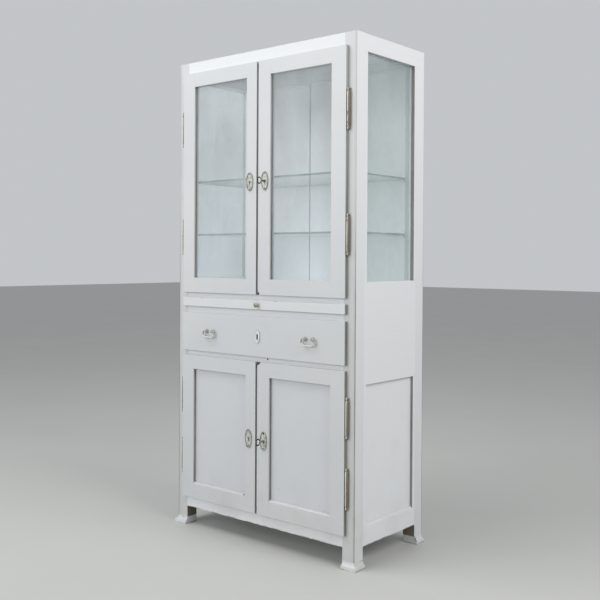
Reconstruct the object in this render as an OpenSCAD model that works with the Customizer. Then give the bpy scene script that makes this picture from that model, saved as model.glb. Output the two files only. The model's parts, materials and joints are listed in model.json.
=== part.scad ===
// Apothecary cabinet: four corner posts on flared feet, a glazed display case
// over a pull-out shelf, a drawer and a panelled cupboard. All fronts are lipped:
// they stand proud of the posts and overlap the openings that they close.
// X runs to the cabinet's right as a user faces it, Y from front to back, Z up.

/* [Carcass] */
// Width over the corner posts
cab_w = 840; // [700:1:1050]
// Depth over the corner posts
cab_d = 410; // [335:1:520]
// Height from the floor to the top
cab_h = 1760; // [1450:1:2150]
// Side of the square corner posts
post = 48; // [40:0.1:58]
// Thickness of the front rails
rail_t = 25; // [22:1:32]
// Thickness of the side rails, stiles and waist boards
side_t = 22; // [20:1:28]
// Thickness of the rails across the back
back_rail_t = 22; // [18:1:28]
// Thickness of the back boards
back_t = 12; // [8:1:16]
// Thickness of the top board, the floors and the cupboard shelf
board_t = 18; // [14:1:24]
// Distance of the two joints between the back boards from the middle
back_joint_x = 100; // [60:1:160]

/* [Heights of the front] */
// Underside of the lowest rails, the free height under the cabinet
leg_h = 69; // [50:1:110]
// Height of the lowest front rail
bottom_rail_h = 49; // [40:1:60]
// Height of the cupboard's door opening
cupboard_h = 524; // [430:1:640]
// Height of the rail between the cupboard and the drawer
drawer_rail_h = 35; // [30:1:45]
// Height of the drawer's opening
drawer_h = 128; // [105:1:160]
// Height of the rail between the drawer and the pull-out shelf
slide_rail_h = 39; // [34:1:48]
// Height of the pull-out shelf's opening
slide_h = 17; // [15:0.1:24]
// Height of the rail under the display case
waist_rail_h = 36; // [32:1:45]
// Height of the top rail
top_rail_h = 52; // [42:1:64]

/* [Feet] */
// Height of a foot, its block and cove together
foot_h = 26; // [20:1:36]
// Height of the foot's straight block
foot_block_h = 12; // [8:1:16]
// How far a foot spreads past the outer faces of its post
foot_flare = 10; // [6:1:14]
// Radius of the dowel that joins a post to its foot
foot_dowel_r = 10; // [7:1:13]
// Length of that dowel
foot_dowel_l = 14; // [10:1:18]

/* [Sides] */
// Width of the thin stiles beside the posts
side_stile = 15; // [12:1:20]
// Height of the side's top rail
side_top_rail_h = 58; // [48:1:70]
// Height of the side's bottom rail
side_bottom_rail_h = 69; // [60:1:80]
// How far the waist board rises above the display floor
waist_over = 45; // [30:1:60]
// How far the waist board reaches below the cupboard's top
waist_under = 40; // [25:1:60]
// Depth of the side panes behind the outer face
side_glass_back = 11; // [8:1:13]
// Thickness of the wooden side panels
side_panel_t = 8; // [6:1:10]
// Depth of the side panels behind the outer face
side_panel_back = 10; // [7:1:12]
// Bevel along the top of the bottom rails, under the panels
sill_bevel = 6; // [3:1:8]

/* [Doors and fronts] */
// How far all fronts stand in front of the posts
proud = 13; // [10:1:18]
// Thickness of the part of a front that sits inside its opening
inset_t = 9; // [7:1:14]
// Overlap of a front on a post
post_lip = 15; // [10:1:18]
// Overlap of a front on a rail
rail_lip = 8; // [5:1:12]
// Width of the doors' hinge stiles
hinge_stile = 60; // [50:1:72]
// Width of the meeting stile of a right-hand door
right_stile = 56; // [50:1:70]
// Width of the meeting stile of a left-hand door
left_stile = 48; // [44:1:62]
// Distance of the right-hand doors' meeting edge from the middle
meeting_x = 0.5; // [0:0.1:3]
// Width of the tongue along a left-hand door's meeting edge
tongue_w = 8; // [5:1:12]
// Depth of the tongue behind the door's face
tongue_back = 8; // [5:1:11]
// Length that the tongue stops short at each end
tongue_end = 12; // [5:1:30]
// Height of a glazed door's top rail
glazed_top_h = 52; // [45:1:65]
// Height of a glazed door's bottom rail
glazed_bottom_h = 55; // [45:1:70]
// Height of a panelled door's top rail
panelled_top_h = 51; // [45:1:65]
// Height of a panelled door's bottom rail
panelled_bottom_h = 60; // [50:1:75]
// Depth of the panes behind the doors' face
glass_back = 10.5; // [8:0.5:13]
// Depth of the wooden panels behind the doors' face
panel_back = 11.5; // [8:0.5:13]
// Thickness of the doors' wooden panels
panel_t = 7; // [5:0.5:8]

/* [Glass and shelves] */
// Thickness of every window pane
glass_t = 3; // [2:0.5:4]
// Width of the rebates that hold the panes
rebate_w = 8; // [6:1:9]
// Depth of the grooves that hold the wooden panels
groove_d = 9; // [6:1:10]
// Thickness of the glass shelves
shelf_glass_t = 7; // [5:0.5:10]
// Height of the lower glass shelf's top above the display floor
shelf_low_up = 213; // [150:1:250]
// Height of the upper glass shelf's top above the display floor
shelf_high_up = 414; // [300:1:450]
// Radius of the shelf pegs
peg_r = 3.5; // [3:0.5:5]
// Length of a peg inside its post
peg_in = 12; // [8:1:18]
// Length of a peg under the shelf
peg_out = 12; // [8:1:18]
// Distance of the pegs from the cabinet's front and back faces
peg_inset = 36; // [32:0.1:40]
// Height of the cupboard shelf's top above the cupboard floor
cupboard_shelf_up = 270; // [150:1:350]

/* [Hinges] */
// Radius of the hinge barrels
barrel_r = 5.7; // [5:0.1:5.9]
// Distance of a hinge's axis from the edge of its door
barrel_out = 6; // [6:0.1:8]
// Height of the two barrel halves together
barrel_h = 112; // [90:1:130]
// Radius of the finial balls
finial_r = 5; // [4:0.1:5.5]
// Radius of the hinge pins
pin_r = 3; // [2.5:0.1:3.5]
// Length of the hinge pins
pin_h = 84; // [60:1:90]
// Radial play of every pin, key and handle in its hole
pin_play = 0.06; // [0.02:0.01:0.09]
// Thickness of the hinge blades
blade_t = 2; // [1.5:0.1:2.5]
// Depth of the hinge blades in the wood
blade_d = 18; // [14:1:22]
// Distance of the glazed doors' hinges from the doors' ends
glazed_hinge_in = 208; // [120:1:230]
// Distance of the panelled doors' hinges from the doors' ends
panelled_hinge_in = 154; // [100:1:180]

/* [Locks and keys] */
// Height of the glazed doors' locks above the doors' lower ends
glazed_lock_up = 402; // [300:1:480]
// Height of the panelled doors' locks above the doors' lower ends
panelled_lock_up = 264; // [200:1:300]
// Distance of a key's axis from its door's meeting edge
key_in = 31.5; // [28:0.5:34]
// Distance of a left-hand plate's middle from the left door's meeting edge
left_plate_in = 31; // [24:0.5:31]
// Width of the doors' keyhole plates
plate_w = 32; // [26:1:34]
// Height of the doors' keyhole plates
plate_h = 67; // [50:1:74]
// Thickness of the keyhole plates
plate_t = 1.6; // [1:0.1:2]
// Height of the raised rim on a plate
rim_h = 1.4; // [0.8:0.1:2]
// Width of the raised rim
rim_w = 3; // [2:0.5:4]
// Width of a door lock's case
case_w = 44; // [42:1:46]
// Height of a door lock's case
case_h = 76; // [66:1:90]
// Thickness of a lock's case
case_t = 12; // [11:1:13]
// Wall thickness of a lock's case
case_wall = 1.5; // [1:0.1:2]
// Height of a lock's bolt
bolt_h = 14; // [10:1:16]
// Thickness of a lock's bolt
bolt_t = 5; // [4:0.5:6]
// Radius of a key's stem
key_r = 2.6; // [2.2:0.1:3]
// Reach of a key in front of its door
key_reach = 40; // [34:1:50]
// Reach of a key's bit from its axis
bit_reach = 8.6; // [7:0.1:9]
// Length of the key's bow along the stem
bow_l = 22; // [18:1:26]
// Height of the key's bow
bow_h = 26; // [22:1:30]
// Width of the metal of the bow
bow_band = 3.6; // [3:0.1:5]

/* [Bolts inside the left-hand doors] */
// Length of a bolt's back plate
latch_plate_h = 96; // [80:1:120]
// Width of a bolt's back plate
latch_plate_w = 22; // [18:1:24]
// Width of the sliding bolt
latch_w = 9; // [7:1:11]
// Thickness of the sliding bolt
latch_t = 5; // [4:0.5:6]
// Length of the sliding bolt
latch_h = 88; // [70:1:110]
// Throw of the sliding bolt
latch_throw = 12; // [8:1:16]

/* [Drawer] */
// Thickness of the drawer's sides and back
drawer_side_t = 12; // [10:1:15]
// Thickness of the drawer's bottom
drawer_bottom_t = 7; // [5:1:9]
// Height of the drawer bottom's underside above the sides' lower edge
drawer_bottom_up = 12; // [8:1:16]
// Gap between the drawer's sides and the top of the opening
drawer_headroom = 10; // [6:1:20]
// Free depth behind the drawer
drawer_back_room = 16; // [10:1:40]
// Height of the drawer's keyhole above the middle of its front
drawer_key_up = 1; // [-5:0.5:6]
// Width of the drawer's keyhole plate
drawer_plate_w = 25; // [20:1:30]
// Height of the drawer's keyhole plate
drawer_plate_h = 48; // [40:1:56]
// Width of the drawer lock's case
drawer_case_w = 60; // [50:1:70]
// Distance of the handles from the middle of the drawer
handle_x = 238; // [160:1:260]

/* [Handles] */
// Distance between a handle's two posts
bail_posts_w = 32; // [28:1:34]
// Radius of the handle posts
bail_post_r = 4.5; // [4:0.1:5.5]
// Radius of the rosettes under the handle posts
rosette_r = 7.5; // [6.5:0.5:10]
// Thickness of the rosettes
rosette_t = 3; // [2:0.5:4]
// Distance of a handle's axis in front of the drawer
bail_axis_out = 10; // [8:0.5:13]
// Radius of the handle's bar
bail_r = 3.2; // [2.4:0.1:3.4]
// Width of the handle over its bar
bail_w = 64; // [62:1:82]
// Height of the handle over its bar
bail_h = 29; // [28:1:42]
// Radius of the handle's upper bends
bail_top_bend = 6.5; // [5:0.5:7.5]
// Radius of the handle's lower bends
bail_low_bend = 15; // [8:0.5:15]

/* [Pull-out shelf] */
// Free depth behind the pull-out shelf
slide_back_room = 26; // [16:1:60]
// Radius of the knob
knob_r = 9; // [7:0.5:10]
// Length of the knob
knob_l = 14; // [12:0.5:18]

/* [Joinery] */
// Length of the tenons on the carcass rails
tenon_l = 22; // [16:1:24]
// Thickness of all tenons
tenon_t = 7; // [6:0.5:8]
// Distance of a tenon from its rail's edges
tenon_shoulder = 10; // [9:1:12]
// Length of the tenons on the door rails
door_tenon_l = 28; // [20:1:32]
// Depth of the housings for the drawer's sides
housing_d = 6; // [4:1:7]
// Play of pieces that are glued or set in wood
fit_gap = 0.2; // [0.1:0.05:0.4]
// Play between a front and the carcass face it closes on
front_gap = 0.4; // [0.3:0.1:0.8]
// Play between a front and its opening, on each side
opening_gap = 1; // [0.6:0.1:2]
// Gap between a left-hand and a right-hand door
meeting_gap = 1.5; // [1.2:0.1:3]
// Play between sliding pieces and their guides
slide_gap = 0.4; // [0.3:0.1:0.6]
// Width of the bearers that carry the drawer and the pull-out shelf
bearer_w = 30; // [20:1:40]

/* [Hidden] */
$fn = 48;

PAINT = [0.84, 0.85, 0.84];
INNER_PAINT = [0.86, 0.88, 0.88];
BARE_WOOD = [0.62, 0.50, 0.37];
PANE = [0.80, 0.88, 0.84, 0.35];
BRASS = [0.45, 0.40, 0.28];
STEEL = [0.42, 0.41, 0.39];
NICKEL = [0.72, 0.71, 0.66];

// Half the width over the posts, and the inner faces of posts and sides
half_w = cab_w / 2;
post_x = half_w - post;
side_x = half_w - side_t;

// Depths, measured from the front face of the posts
rear_post_y = cab_d - post;
back_y = cab_d - back_t;
back_rail_y = back_y - back_rail_t;
front_t = proud + inset_t;
lip_t = proud - front_gap;

// The origin is under the middle of the whole cabinet, keys and feet included
front_y = (proud + key_reach - cab_d) / 2;

// Lower edges of the rails and openings, from the floor up
z_cupboard = leg_h + bottom_rail_h;
z_drawer_rail = z_cupboard + cupboard_h;
z_drawer = z_drawer_rail + drawer_rail_h;
z_slide_rail = z_drawer + drawer_h;
z_slide = z_slide_rail + slide_rail_h;
z_waist_rail = z_slide + slide_h;
z_display = z_waist_rail + waist_rail_h;
z_top_rail = cab_h - top_rail_h;

// Rails as [lower edge, height]
FRONT_RAILS = [
    [leg_h, bottom_rail_h], [z_drawer_rail, drawer_rail_h], [z_slide_rail, slide_rail_h],
    [z_waist_rail, waist_rail_h], [z_top_rail, top_rail_h]];
BACK_RAILS = [
    [leg_h, bottom_rail_h - board_t], [z_drawer_rail, drawer_rail_h],
    [z_slide_rail, z_display - board_t - z_slide_rail], [z_top_rail, top_rail_h - board_t]];
z_waist = z_drawer_rail - waist_under;
z_waist_top = z_display + waist_over;
z_side_top = cab_h - side_top_rail_h;
z_side_bottom = leg_h + side_bottom_rail_h;
SIDE_RAILS = [
    [leg_h, side_bottom_rail_h], [z_waist, z_waist_top - z_waist], [z_side_top, side_top_rail_h]];

// Hairline between glued pieces, and how far shapes that make up one piece lap
joint_gap = 0.05;
lap = 0.1;

// Places of the tenons: front rails, back rails, side rails
side_tenon_in = 4;
front_tenon_y = 6;
door_tenon_y = 8;
back_tenon_y = back_rail_y + (back_rail_t - tenon_t) / 2;
side_tenon_x = half_w - side_tenon_in - tenon_t;
back_rebate_w = 10;
top_rebate_w = 10;

// Outer edges of the fronts, and the sizes of the doors
lip_x = post_x + post_lip;
right_w = lip_x - meeting_x;
left_edge_x = meeting_x - meeting_gap - tongue_w;
left_w = lip_x + left_edge_x;
glazed_z = z_display - rail_lip;
glazed_h = z_top_rail + rail_lip - glazed_z;
panelled_z = z_cupboard - rail_lip;
panelled_h = z_drawer_rail + rail_lip - panelled_z;

// Hinge axes and heights
hinge_x = lip_x + barrel_out;
hinge_y = -proud / 2;
GLAZED_HINGES = [glazed_hinge_in, glazed_h - glazed_hinge_in];
PANELLED_HINGES = [panelled_hinge_in, panelled_h - panelled_hinge_in];
HINGE_HEIGHTS = concat(
    [for (z = PANELLED_HINGES) panelled_z + z], [for (z = GLAZED_HINGES) glazed_z + z]);
hinge_split = 0.4;
blade_end = 4;
finial_h = 13;

// Shelf heights: undersides of the glass shelves
GLASS_SHELVES = [
    z_display + shelf_low_up - shelf_glass_t, z_display + shelf_high_up - shelf_glass_t];
shelf_front_y = 28;
shelf_back_gap = 10;

// Lock parts, from the face of a door inwards
case_y = front_t - case_t;
bolt_y = case_y + (case_t - bolt_t) / 2;
bolt_up = bit_reach + 3;
stem_end = front_t - case_wall - 2;
key_clear = 0.8;
plate_slot_w = 3.4;
door_slot_w = 4;
key_collar_out = 1.6;
key_t = 3.6;
bit_t = 2.4;
bit_gap = 1.5;
bit_short = 0.5;
key_collar_gap = 6;
key_collar_l = 4;

// Keyhole of the drawer, whose lock is worked from the front
drawer_hole_r = 3.4;
drawer_slot_l = 15;

// Bolts inside the left-hand doors
latch_in = 25;
latch_plate_t = 1.6;
latch_top_gap = 1;
latch_knob_r = 4.5;
latch_knob_low = 6;
latch_knob_down = latch_h / 2 + latch_knob_low;
latch_neck_l = 6;
latch_knob_out = latch_neck_l + 1;
latch_neck_sunk = 1;
staple_t = 2;
staple_h = 12;

// Drawer
drawer_in_x = post_x - 2 * opening_gap;
drawer_side_h = drawer_h - drawer_headroom;
drawer_back_y = back_rail_y - drawer_back_room;
drawer_groove_d = drawer_side_t / 2;
drawer_mid_z = z_drawer + drawer_h / 2;
drawer_case_below = 17;
drawer_case_h = drawer_h / 2 - drawer_key_up - opening_gap + drawer_case_below;
drawer_bolt_w = 24;
drawer_bolt_y = inset_t / 2 - 2;
drawer_bolt_t = 4;
drawer_bolt_throw = 6;
drawer_bolt_short = 0.2;

// Handles
bail_bar_x = bail_w / 2 - bail_r;
bail_drop = bail_h - 2 * bail_r;
bail_pin_r = 2;
bail_down = 6;
bail_z = drawer_mid_z + bail_drop / 2 - bail_down;

// Pull-out shelf
slide_board_t = slide_h - 2 * slide_gap;
slide_tongue = 7;
slide_mid_z = z_slide + slide_h / 2;

// ---------------------------------------------------------------- helpers

// A box given by its ranges along X, Y and Z
module block(x, y, z) {
    translate([x[0], y[0], z[0]]) cube([x[1] - x[0], y[1] - y[0], z[1] - z[0]]);
}

// Moves what is drawn from the posts' front face to the cabinet's own origin
module placed() {
    translate([0, front_y, 0]) children();
}

// A thing and its mirror image on the other side of the cabinet
module both_sides() {
    children();
    mirror([1, 0, 0]) children();
}

// A rod along Y from y0 to y1
module rod_y(r, y0, y1) {
    translate([0, y0, 0]) rotate([-90, 0, 0]) cylinder(r = r, h = y1 - y0);
}

// A rod along X from x0 to x1
module rod_x(r, x0, x1) {
    translate([x0, 0, 0]) rotate([0, 90, 0]) cylinder(r = r, h = x1 - x0);
}

// An upright oval slab whose face looks to the front, from y0 to y1
module oval(w, h, y0, y1) {
    sides = $fn;
    translate([0, y1, 0]) rotate([90, 0, 0]) linear_extrude(y1 - y0)
        polygon([for (i = [0 : sides - 1]) [w / 2 * cos(i * 360 / sides), h / 2 * sin(i * 360 / sides)]]);
}

// A keyhole: a round hole with a slot below it
module keyhole(r, slot_w, slot_l, y0, y1) {
    rod_y(r, y0, y1);
    block([-slot_w / 2, slot_w / 2], [y0, y1], [-slot_l, 0]);
}

// Takes the four corner posts out of a board
module corner_notches(z0, z1) {
    both_sides() {
        block([post_x - fit_gap, half_w + 1], [-1, post + fit_gap], [z0 - 1, z1 + 1]);
        block([post_x - fit_gap, half_w + 1], [rear_post_y - fit_gap, cab_d + 1], [z0 - 1, z1 + 1]);
    }
}

// ---------------------------------------------------------------- carcass

// Mortises that the rails' tenons need in the right-hand posts
module front_mortises(rails, y0) {
    for (r = rails)
        block([post_x - 1, post_x + tenon_l + fit_gap],
            [y0 - fit_gap, y0 + tenon_t + fit_gap],
            [r[0] + tenon_shoulder - fit_gap, r[0] + r[1] - tenon_shoulder + fit_gap]);
}
module side_mortises(y0, y1) {
    for (r = SIDE_RAILS)
        block([side_tenon_x - fit_gap, side_tenon_x + tenon_t + fit_gap], [y0, y1],
            [r[0] + tenon_shoulder - fit_gap, r[0] + r[1] - tenon_shoulder + fit_gap]);
}
module peg_holes(y) {
    for (z = GLASS_SHELVES)
        translate([0, y, z - peg_r]) rod_x(peg_r, post_x - 1, post_x + peg_in);
}
module post_dowel(y) {
    translate([post_x + post / 2, y, foot_h - foot_dowel_l])
        cylinder(r = foot_dowel_r, h = foot_dowel_l + 1);
}

module front_posts() {
    color(PAINT) placed() both_sides() {
        difference() {
            block([post_x, half_w], [0, post], [foot_h, cab_h]);
            front_mortises(FRONT_RAILS, front_tenon_y);
            side_mortises(post - tenon_l - fit_gap, post + 1);
            peg_holes(peg_inset);
            for (z = HINGE_HEIGHTS)
                block([hinge_x - blade_t / 2 - fit_gap, hinge_x + blade_t / 2 + fit_gap],
                    [-1, blade_d + fit_gap],
                    [z - barrel_h / 2 + blade_end - fit_gap, z - blade_end + fit_gap]);
        }
        post_dowel(post / 2);
    }
}

module rear_posts() {
    color(PAINT) placed() both_sides() {
        difference() {
            block([post_x, half_w], [rear_post_y, cab_d], [foot_h, cab_h]);
            front_mortises(BACK_RAILS, back_tenon_y);
            side_mortises(rear_post_y - 1, rear_post_y + tenon_l + fit_gap);
            peg_holes(cab_d - peg_inset);
            block([post_x - 1, post_x + back_rebate_w + fit_gap], [back_y, cab_d + 1],
                [leg_h, cab_h + 1]);
        }
        post_dowel(cab_d - post / 2);
    }
}

// Outline of a foot from its post's inner face outwards: a block, and a hollow cove above it
module foot_outline(flare) {
    cove_h = foot_h - foot_block_h;
    difference() {
        square([post + flare, foot_h]);
        if (flare > 0)
            translate([post + flare, foot_h]) scale([flare / cove_h, 1])
                circle(r = cove_h, $fn = 40);
    }
}

// A right-hand foot, drawn from its post's inner edge. It spreads to the side and the front,
// or to the side only where it stands against a wall.
module foot(front_flare) {
    difference() {
        intersection() {
            translate([0, post, 0]) rotate([90, 0, 0])
                linear_extrude(post + front_flare) foot_outline(foot_flare);
            translate([0, post, 0]) rotate([90, 0, -90]) mirror([0, 0, 1])
                linear_extrude(post + foot_flare) foot_outline(front_flare);
        }
        translate([post / 2, post / 2, foot_h - foot_dowel_l - fit_gap])
            cylinder(r = foot_dowel_r + fit_gap, h = foot_dowel_l + 1);
    }
}

module feet() {
    color(PAINT) placed() both_sides() {
        translate([post_x, 0, 0]) foot(foot_flare);
        translate([post_x, rear_post_y, 0]) foot(0);
    }
}

module top_board() {
    z = cab_h - board_t;
    color(PAINT) placed() difference() {
        block([-side_x - top_rebate_w + fit_gap, side_x + top_rebate_w - fit_gap],
            [rail_t - top_rebate_w + fit_gap, back_y - fit_gap], [z, cab_h]);
        corner_notches(z, cab_h);
    }
}

// A rail between two posts, with a tenon at each end
module cross_rail(y, t, tenon_y, z, h) {
    block([-post_x, post_x], [y, y + t], [z, z + h]);
    block([-post_x - tenon_l, post_x + tenon_l], [tenon_y, tenon_y + tenon_t],
        [z + tenon_shoulder, z + h - tenon_shoulder]);
}

module front_rails() {
    latch_x = left_edge_x - latch_in;
    latch_y = inset_t + latch_plate_t;
    color(PAINT) placed() difference() {
        for (r = FRONT_RAILS) cross_rail(0, rail_t, front_tenon_y, r[0], r[1]);
        // Rebate that carries the top board's front edge
        block([-post_x - 1, post_x + 1], [rail_t - top_rebate_w, rail_t + 1],
            [cab_h - board_t, cab_h + 1]);
        // Holes that take the bolts of the left-hand doors and of the drawer lock
        for (z = [z_drawer_rail, z_top_rail])
            block([latch_x - latch_w / 2 - slide_gap, latch_x + latch_w / 2 + slide_gap],
                [latch_y - slide_gap, latch_y + latch_t + slide_gap], [z - 1, z + latch_throw + 2]);
        block([-drawer_bolt_w / 2 - slide_gap, drawer_bolt_w / 2 + slide_gap],
            [drawer_bolt_y - slide_gap, drawer_bolt_y + drawer_bolt_t + slide_gap],
            [z_slide_rail - 1, z_slide_rail + drawer_bolt_throw + 2]);
    }
}

module back_rails() {
    color(BARE_WOOD) placed()
        for (r = BACK_RAILS) cross_rail(back_rail_y, back_rail_t, back_tenon_y, r[0], r[1]);
}

module back_boards() {
    edges = [-post_x - back_rebate_w, -back_joint_x, back_joint_x, post_x + back_rebate_w];
    color(INNER_PAINT) placed()
        for (i = [0 : 2])
            block([edges[i] + fit_gap, edges[i + 1] - fit_gap], [back_y, cab_d], [leg_h, cab_h]);
}

// ---------------------------------------------------------------- sides

glass_y = [post + side_stile - rebate_w, rear_post_y - side_stile + rebate_w];
glass_z = [z_waist_top - rebate_w, z_side_top + rebate_w];

module side_frames() {
    color(PAINT) placed() both_sides() difference() {
        union() {
            for (r = SIDE_RAILS) {
                block([side_x, half_w], [post, rear_post_y], [r[0], r[0] + r[1]]);
                block([side_tenon_x, side_tenon_x + tenon_t], [post - tenon_l, rear_post_y + tenon_l],
                    [r[0] + tenon_shoulder, r[0] + r[1] - tenon_shoulder]);
            }
            for (y = [post, rear_post_y - side_stile],
                 z = [[z_side_bottom, z_waist], [z_waist_top, z_side_top]])
                block([side_x, half_w], [y, y + side_stile], [z[0] + joint_gap, z[1] - joint_gap]);
        }
        block([side_x - 1, half_w - side_glass_back], glass_y, glass_z);
        block([half_w - side_panel_back - side_panel_t - fit_gap, half_w - side_panel_back + fit_gap],
            [post + side_stile - groove_d, rear_post_y - side_stile + groove_d],
            [z_side_bottom - groove_d, z_waist + groove_d]);
        block([side_x - 1, side_x + top_rebate_w], [post - 1, rear_post_y + 1],
            [cab_h - board_t, cab_h + 1]);
        // Sloping sill under the panel
        translate([half_w, post + side_stile, z_side_bottom - sill_bevel]) rotate([-90, 0, 0])
            linear_extrude(rear_post_y - post - 2 * side_stile)
                polygon([[0, 0], [-sill_bevel, -sill_bevel], [1, -sill_bevel - 1], [1, 0]]);
    }
}

module side_glass() {
    x = half_w - side_glass_back - glass_t;
    color(PANE) placed() both_sides()
        block([x, x + glass_t], [glass_y[0] + fit_gap, glass_y[1] - fit_gap],
            [glass_z[0] + fit_gap, glass_z[1] - fit_gap]);
}

module side_beads() {
    bead_x = [side_x, half_w - side_glass_back - glass_t - fit_gap];
    color(INNER_PAINT) placed() both_sides() {
        for (y = [glass_y[0], glass_y[1] - rebate_w])
            block(bead_x, [y + fit_gap, y + rebate_w - fit_gap],
                [glass_z[0] + fit_gap, glass_z[1] - fit_gap]);
        for (z = [glass_z[0], glass_z[1] - rebate_w])
            block(bead_x, [glass_y[0] + rebate_w, glass_y[1] - rebate_w],
                [z + fit_gap, z + rebate_w - fit_gap]);
    }
}

module side_panels() {
    x = half_w - side_panel_back - side_panel_t;
    color(PAINT) placed() both_sides()
        block([x, x + side_panel_t],
            [post + side_stile - groove_d + 1, rear_post_y - side_stile + groove_d - 1],
            [z_side_bottom - groove_d + 1, z_waist + groove_d - 1]);
}

// ---------------------------------------------------------------- inside

module floor_board(z_top) {
    difference() {
        block([-side_x + fit_gap, side_x - fit_gap], [rail_t, back_y - fit_gap],
            [z_top - board_t, z_top]);
        corner_notches(z_top - board_t, z_top);
    }
}

module display_floor() {
    color(INNER_PAINT) placed() floor_board(z_display);
}

module cupboard_floor() {
    color(INNER_PAINT) placed() floor_board(z_cupboard);
}

module cupboard_shelf() {
    z = z_cupboard + cupboard_shelf_up;
    color(INNER_PAINT) placed() difference() {
        block([-side_x + fit_gap, side_x - fit_gap], [post + 2, back_y - fit_gap], [z - board_t, z]);
        corner_notches(z - board_t, z);
    }
}

// A bearer fills the space between the side and the drawer's running line
module bearer(z0, z1) {
    block([post_x - bearer_w, post_x - fit_gap], [rail_t, back_rail_y], [z0, z1]);
    block([post_x - fit_gap - lap, side_x], [post, rear_post_y], [z0, z1]);
}

module bearers() {
    color(BARE_WOOD) placed() both_sides() {
        bearer(z_drawer - board_t, z_drawer);
        bearer(z_slide - board_t, z_slide);
        bearer(z_waist_rail, z_display - board_t);
        for (z = [[z_drawer, z_drawer + board_t], [z_slide, z_waist_rail]])
            block([post_x, side_x], [post, rear_post_y], [z[0] + fit_gap / 2, z[1] - fit_gap / 2]);
    }
}

module shelf_cleats() {
    color(BARE_WOOD) placed() both_sides()
        for (z = [z_cupboard, z_cupboard + cupboard_shelf_up])
            block([side_x - board_t, side_x], [post, rear_post_y], [z - 2 * board_t, z - board_t]);
}

module glass_shelves() {
    color(PANE) placed()
        for (z = GLASS_SHELVES)
            block([-post_x + opening_gap, post_x - opening_gap],
                [shelf_front_y, back_y - shelf_back_gap], [z, z + shelf_glass_t]);
}

module shelf_pegs() {
    color(BRASS) placed() both_sides()
        for (z = GLASS_SHELVES, y = [peg_inset, cab_d - peg_inset])
            translate([0, y, z - peg_r])
                rod_x(peg_r - pin_play, post_x - peg_out, post_x + peg_in - fit_gap);
}

// ---------------------------------------------------------------- hinges

// Outline of a turned finial: a neck and a ball
module finial() {
    cylinder(r = barrel_r * 0.62, h = finial_h - finial_r);
    translate([0, 0, finial_h - finial_r]) sphere(r = finial_r);
}

// The lower half of a hinge, which is let into a post
module post_leaf() {
    difference() {
        union() {
            translate([0, 0, -barrel_h / 2]) cylinder(r = barrel_r, h = barrel_h / 2 - hinge_split / 2);
            translate([0, 0, -barrel_h / 2]) mirror([0, 0, 1]) finial();
            block([-blade_t / 2, blade_t / 2], [0, blade_d - hinge_y],
                [-barrel_h / 2 + blade_end, -blade_end]);
        }
        translate([0, 0, -pin_h / 2]) cylinder(r = pin_r + pin_play, h = pin_h);
    }
}

// The upper half, which is let into the edge of a door and lifts off its pin
module door_leaf() {
    difference() {
        union() {
            translate([0, 0, hinge_split / 2]) cylinder(r = barrel_r, h = (barrel_h - hinge_split) / 2);
            translate([0, 0, barrel_h / 2]) finial();
            block([-barrel_out - blade_d, 0], [-blade_t / 2, blade_t / 2],
                [blade_end, barrel_h / 2 - blade_end]);
        }
        translate([0, 0, -pin_h / 2]) cylinder(r = pin_r + pin_play, h = pin_h + fit_gap);
    }
}

module hinge_post_leaves() {
    color(PAINT) placed() both_sides()
        for (z = HINGE_HEIGHTS) translate([hinge_x, hinge_y, z]) post_leaf();
}

module hinge_pins() {
    color(STEEL) placed() both_sides()
        for (z = HINGE_HEIGHTS)
            translate([hinge_x, hinge_y, z - pin_h / 2]) cylinder(r = pin_r, h = pin_h);
}

// ---------------------------------------------------------------- doors
// A door is drawn from its hinge edge: X grows towards the meeting edge, Y from the
// face inwards, Z from its lower end. Right-hand doors are placed mirrored.

module left_door_place(z) {
    placed() translate([-lip_x, -proud, z]) children();
}
module right_door_place(z) {
    placed() mirror([1, 0, 0]) translate([-lip_x, -proud, z]) children();
}

// A bar of a door: its lip in front and, behind it, the part that enters the opening
module door_bar(x, inset_x, z, inset_z) {
    block(x, [0, lip_t], z);
    block(inset_x, [lip_t - lap, front_t], inset_z);
}

// The four bars of a door, tenons included, before anything is let into them
module door_bars(w, h, meet, top, bottom) {
    inset = rail_lip + opening_gap;
    hinge_inset = post_lip + opening_gap;
    hinge_side = [0, hinge_stile - joint_gap];
    meeting_side = [w - meet + joint_gap, w];
    inner_x = [hinge_stile, w - meet];
    door_bar(hinge_side, [hinge_inset, hinge_side[1]], [0, h], [inset, h - inset]);
    door_bar(meeting_side, meeting_side, [0, h], [inset, h - inset]);
    for (r = [[0, bottom, inset, bottom], [h - top, h, h - top, h - inset]])
        door_bar(inner_x, inner_x, [r[0], r[1]], [r[2], r[3]]);
}

module door_tenons(w, h, meet, top, bottom, grow) {
    for (z = [[tenon_shoulder + rail_lip, bottom - tenon_shoulder],
              [h - top + tenon_shoulder, h - rail_lip - tenon_shoulder]])
        for (x = [[hinge_stile - door_tenon_l - grow, hinge_stile + 1],
                  [w - meet - 1, w - meet + door_tenon_l + grow]])
            block(x, [door_tenon_y - grow, door_tenon_y + tenon_t + grow],
                [z[0] - grow, z[1] + grow]);
}

// Stiles and rails of a door as four pieces
module door_pieces(w, h, meet, top, bottom) {
    difference() {
        door_bars(w, h, meet, top, bottom);
        door_tenons(w, h, meet, top, bottom, fit_gap);
    }
    intersection() {
        door_tenons(w, h, meet, top, bottom, 0);
        block([0, w], [0, front_t], [0, h]);
    }
}

// Slots for the hinge blades in the door's edge
module blade_slots(heights) {
    y = proud + hinge_y;
    for (z = heights)
        block([-1, blade_d + fit_gap], [y - blade_t / 2 - fit_gap, y + blade_t / 2 + fit_gap],
            [z + blade_end - fit_gap, z + barrel_h / 2 - blade_end + fit_gap]);
}

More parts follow.
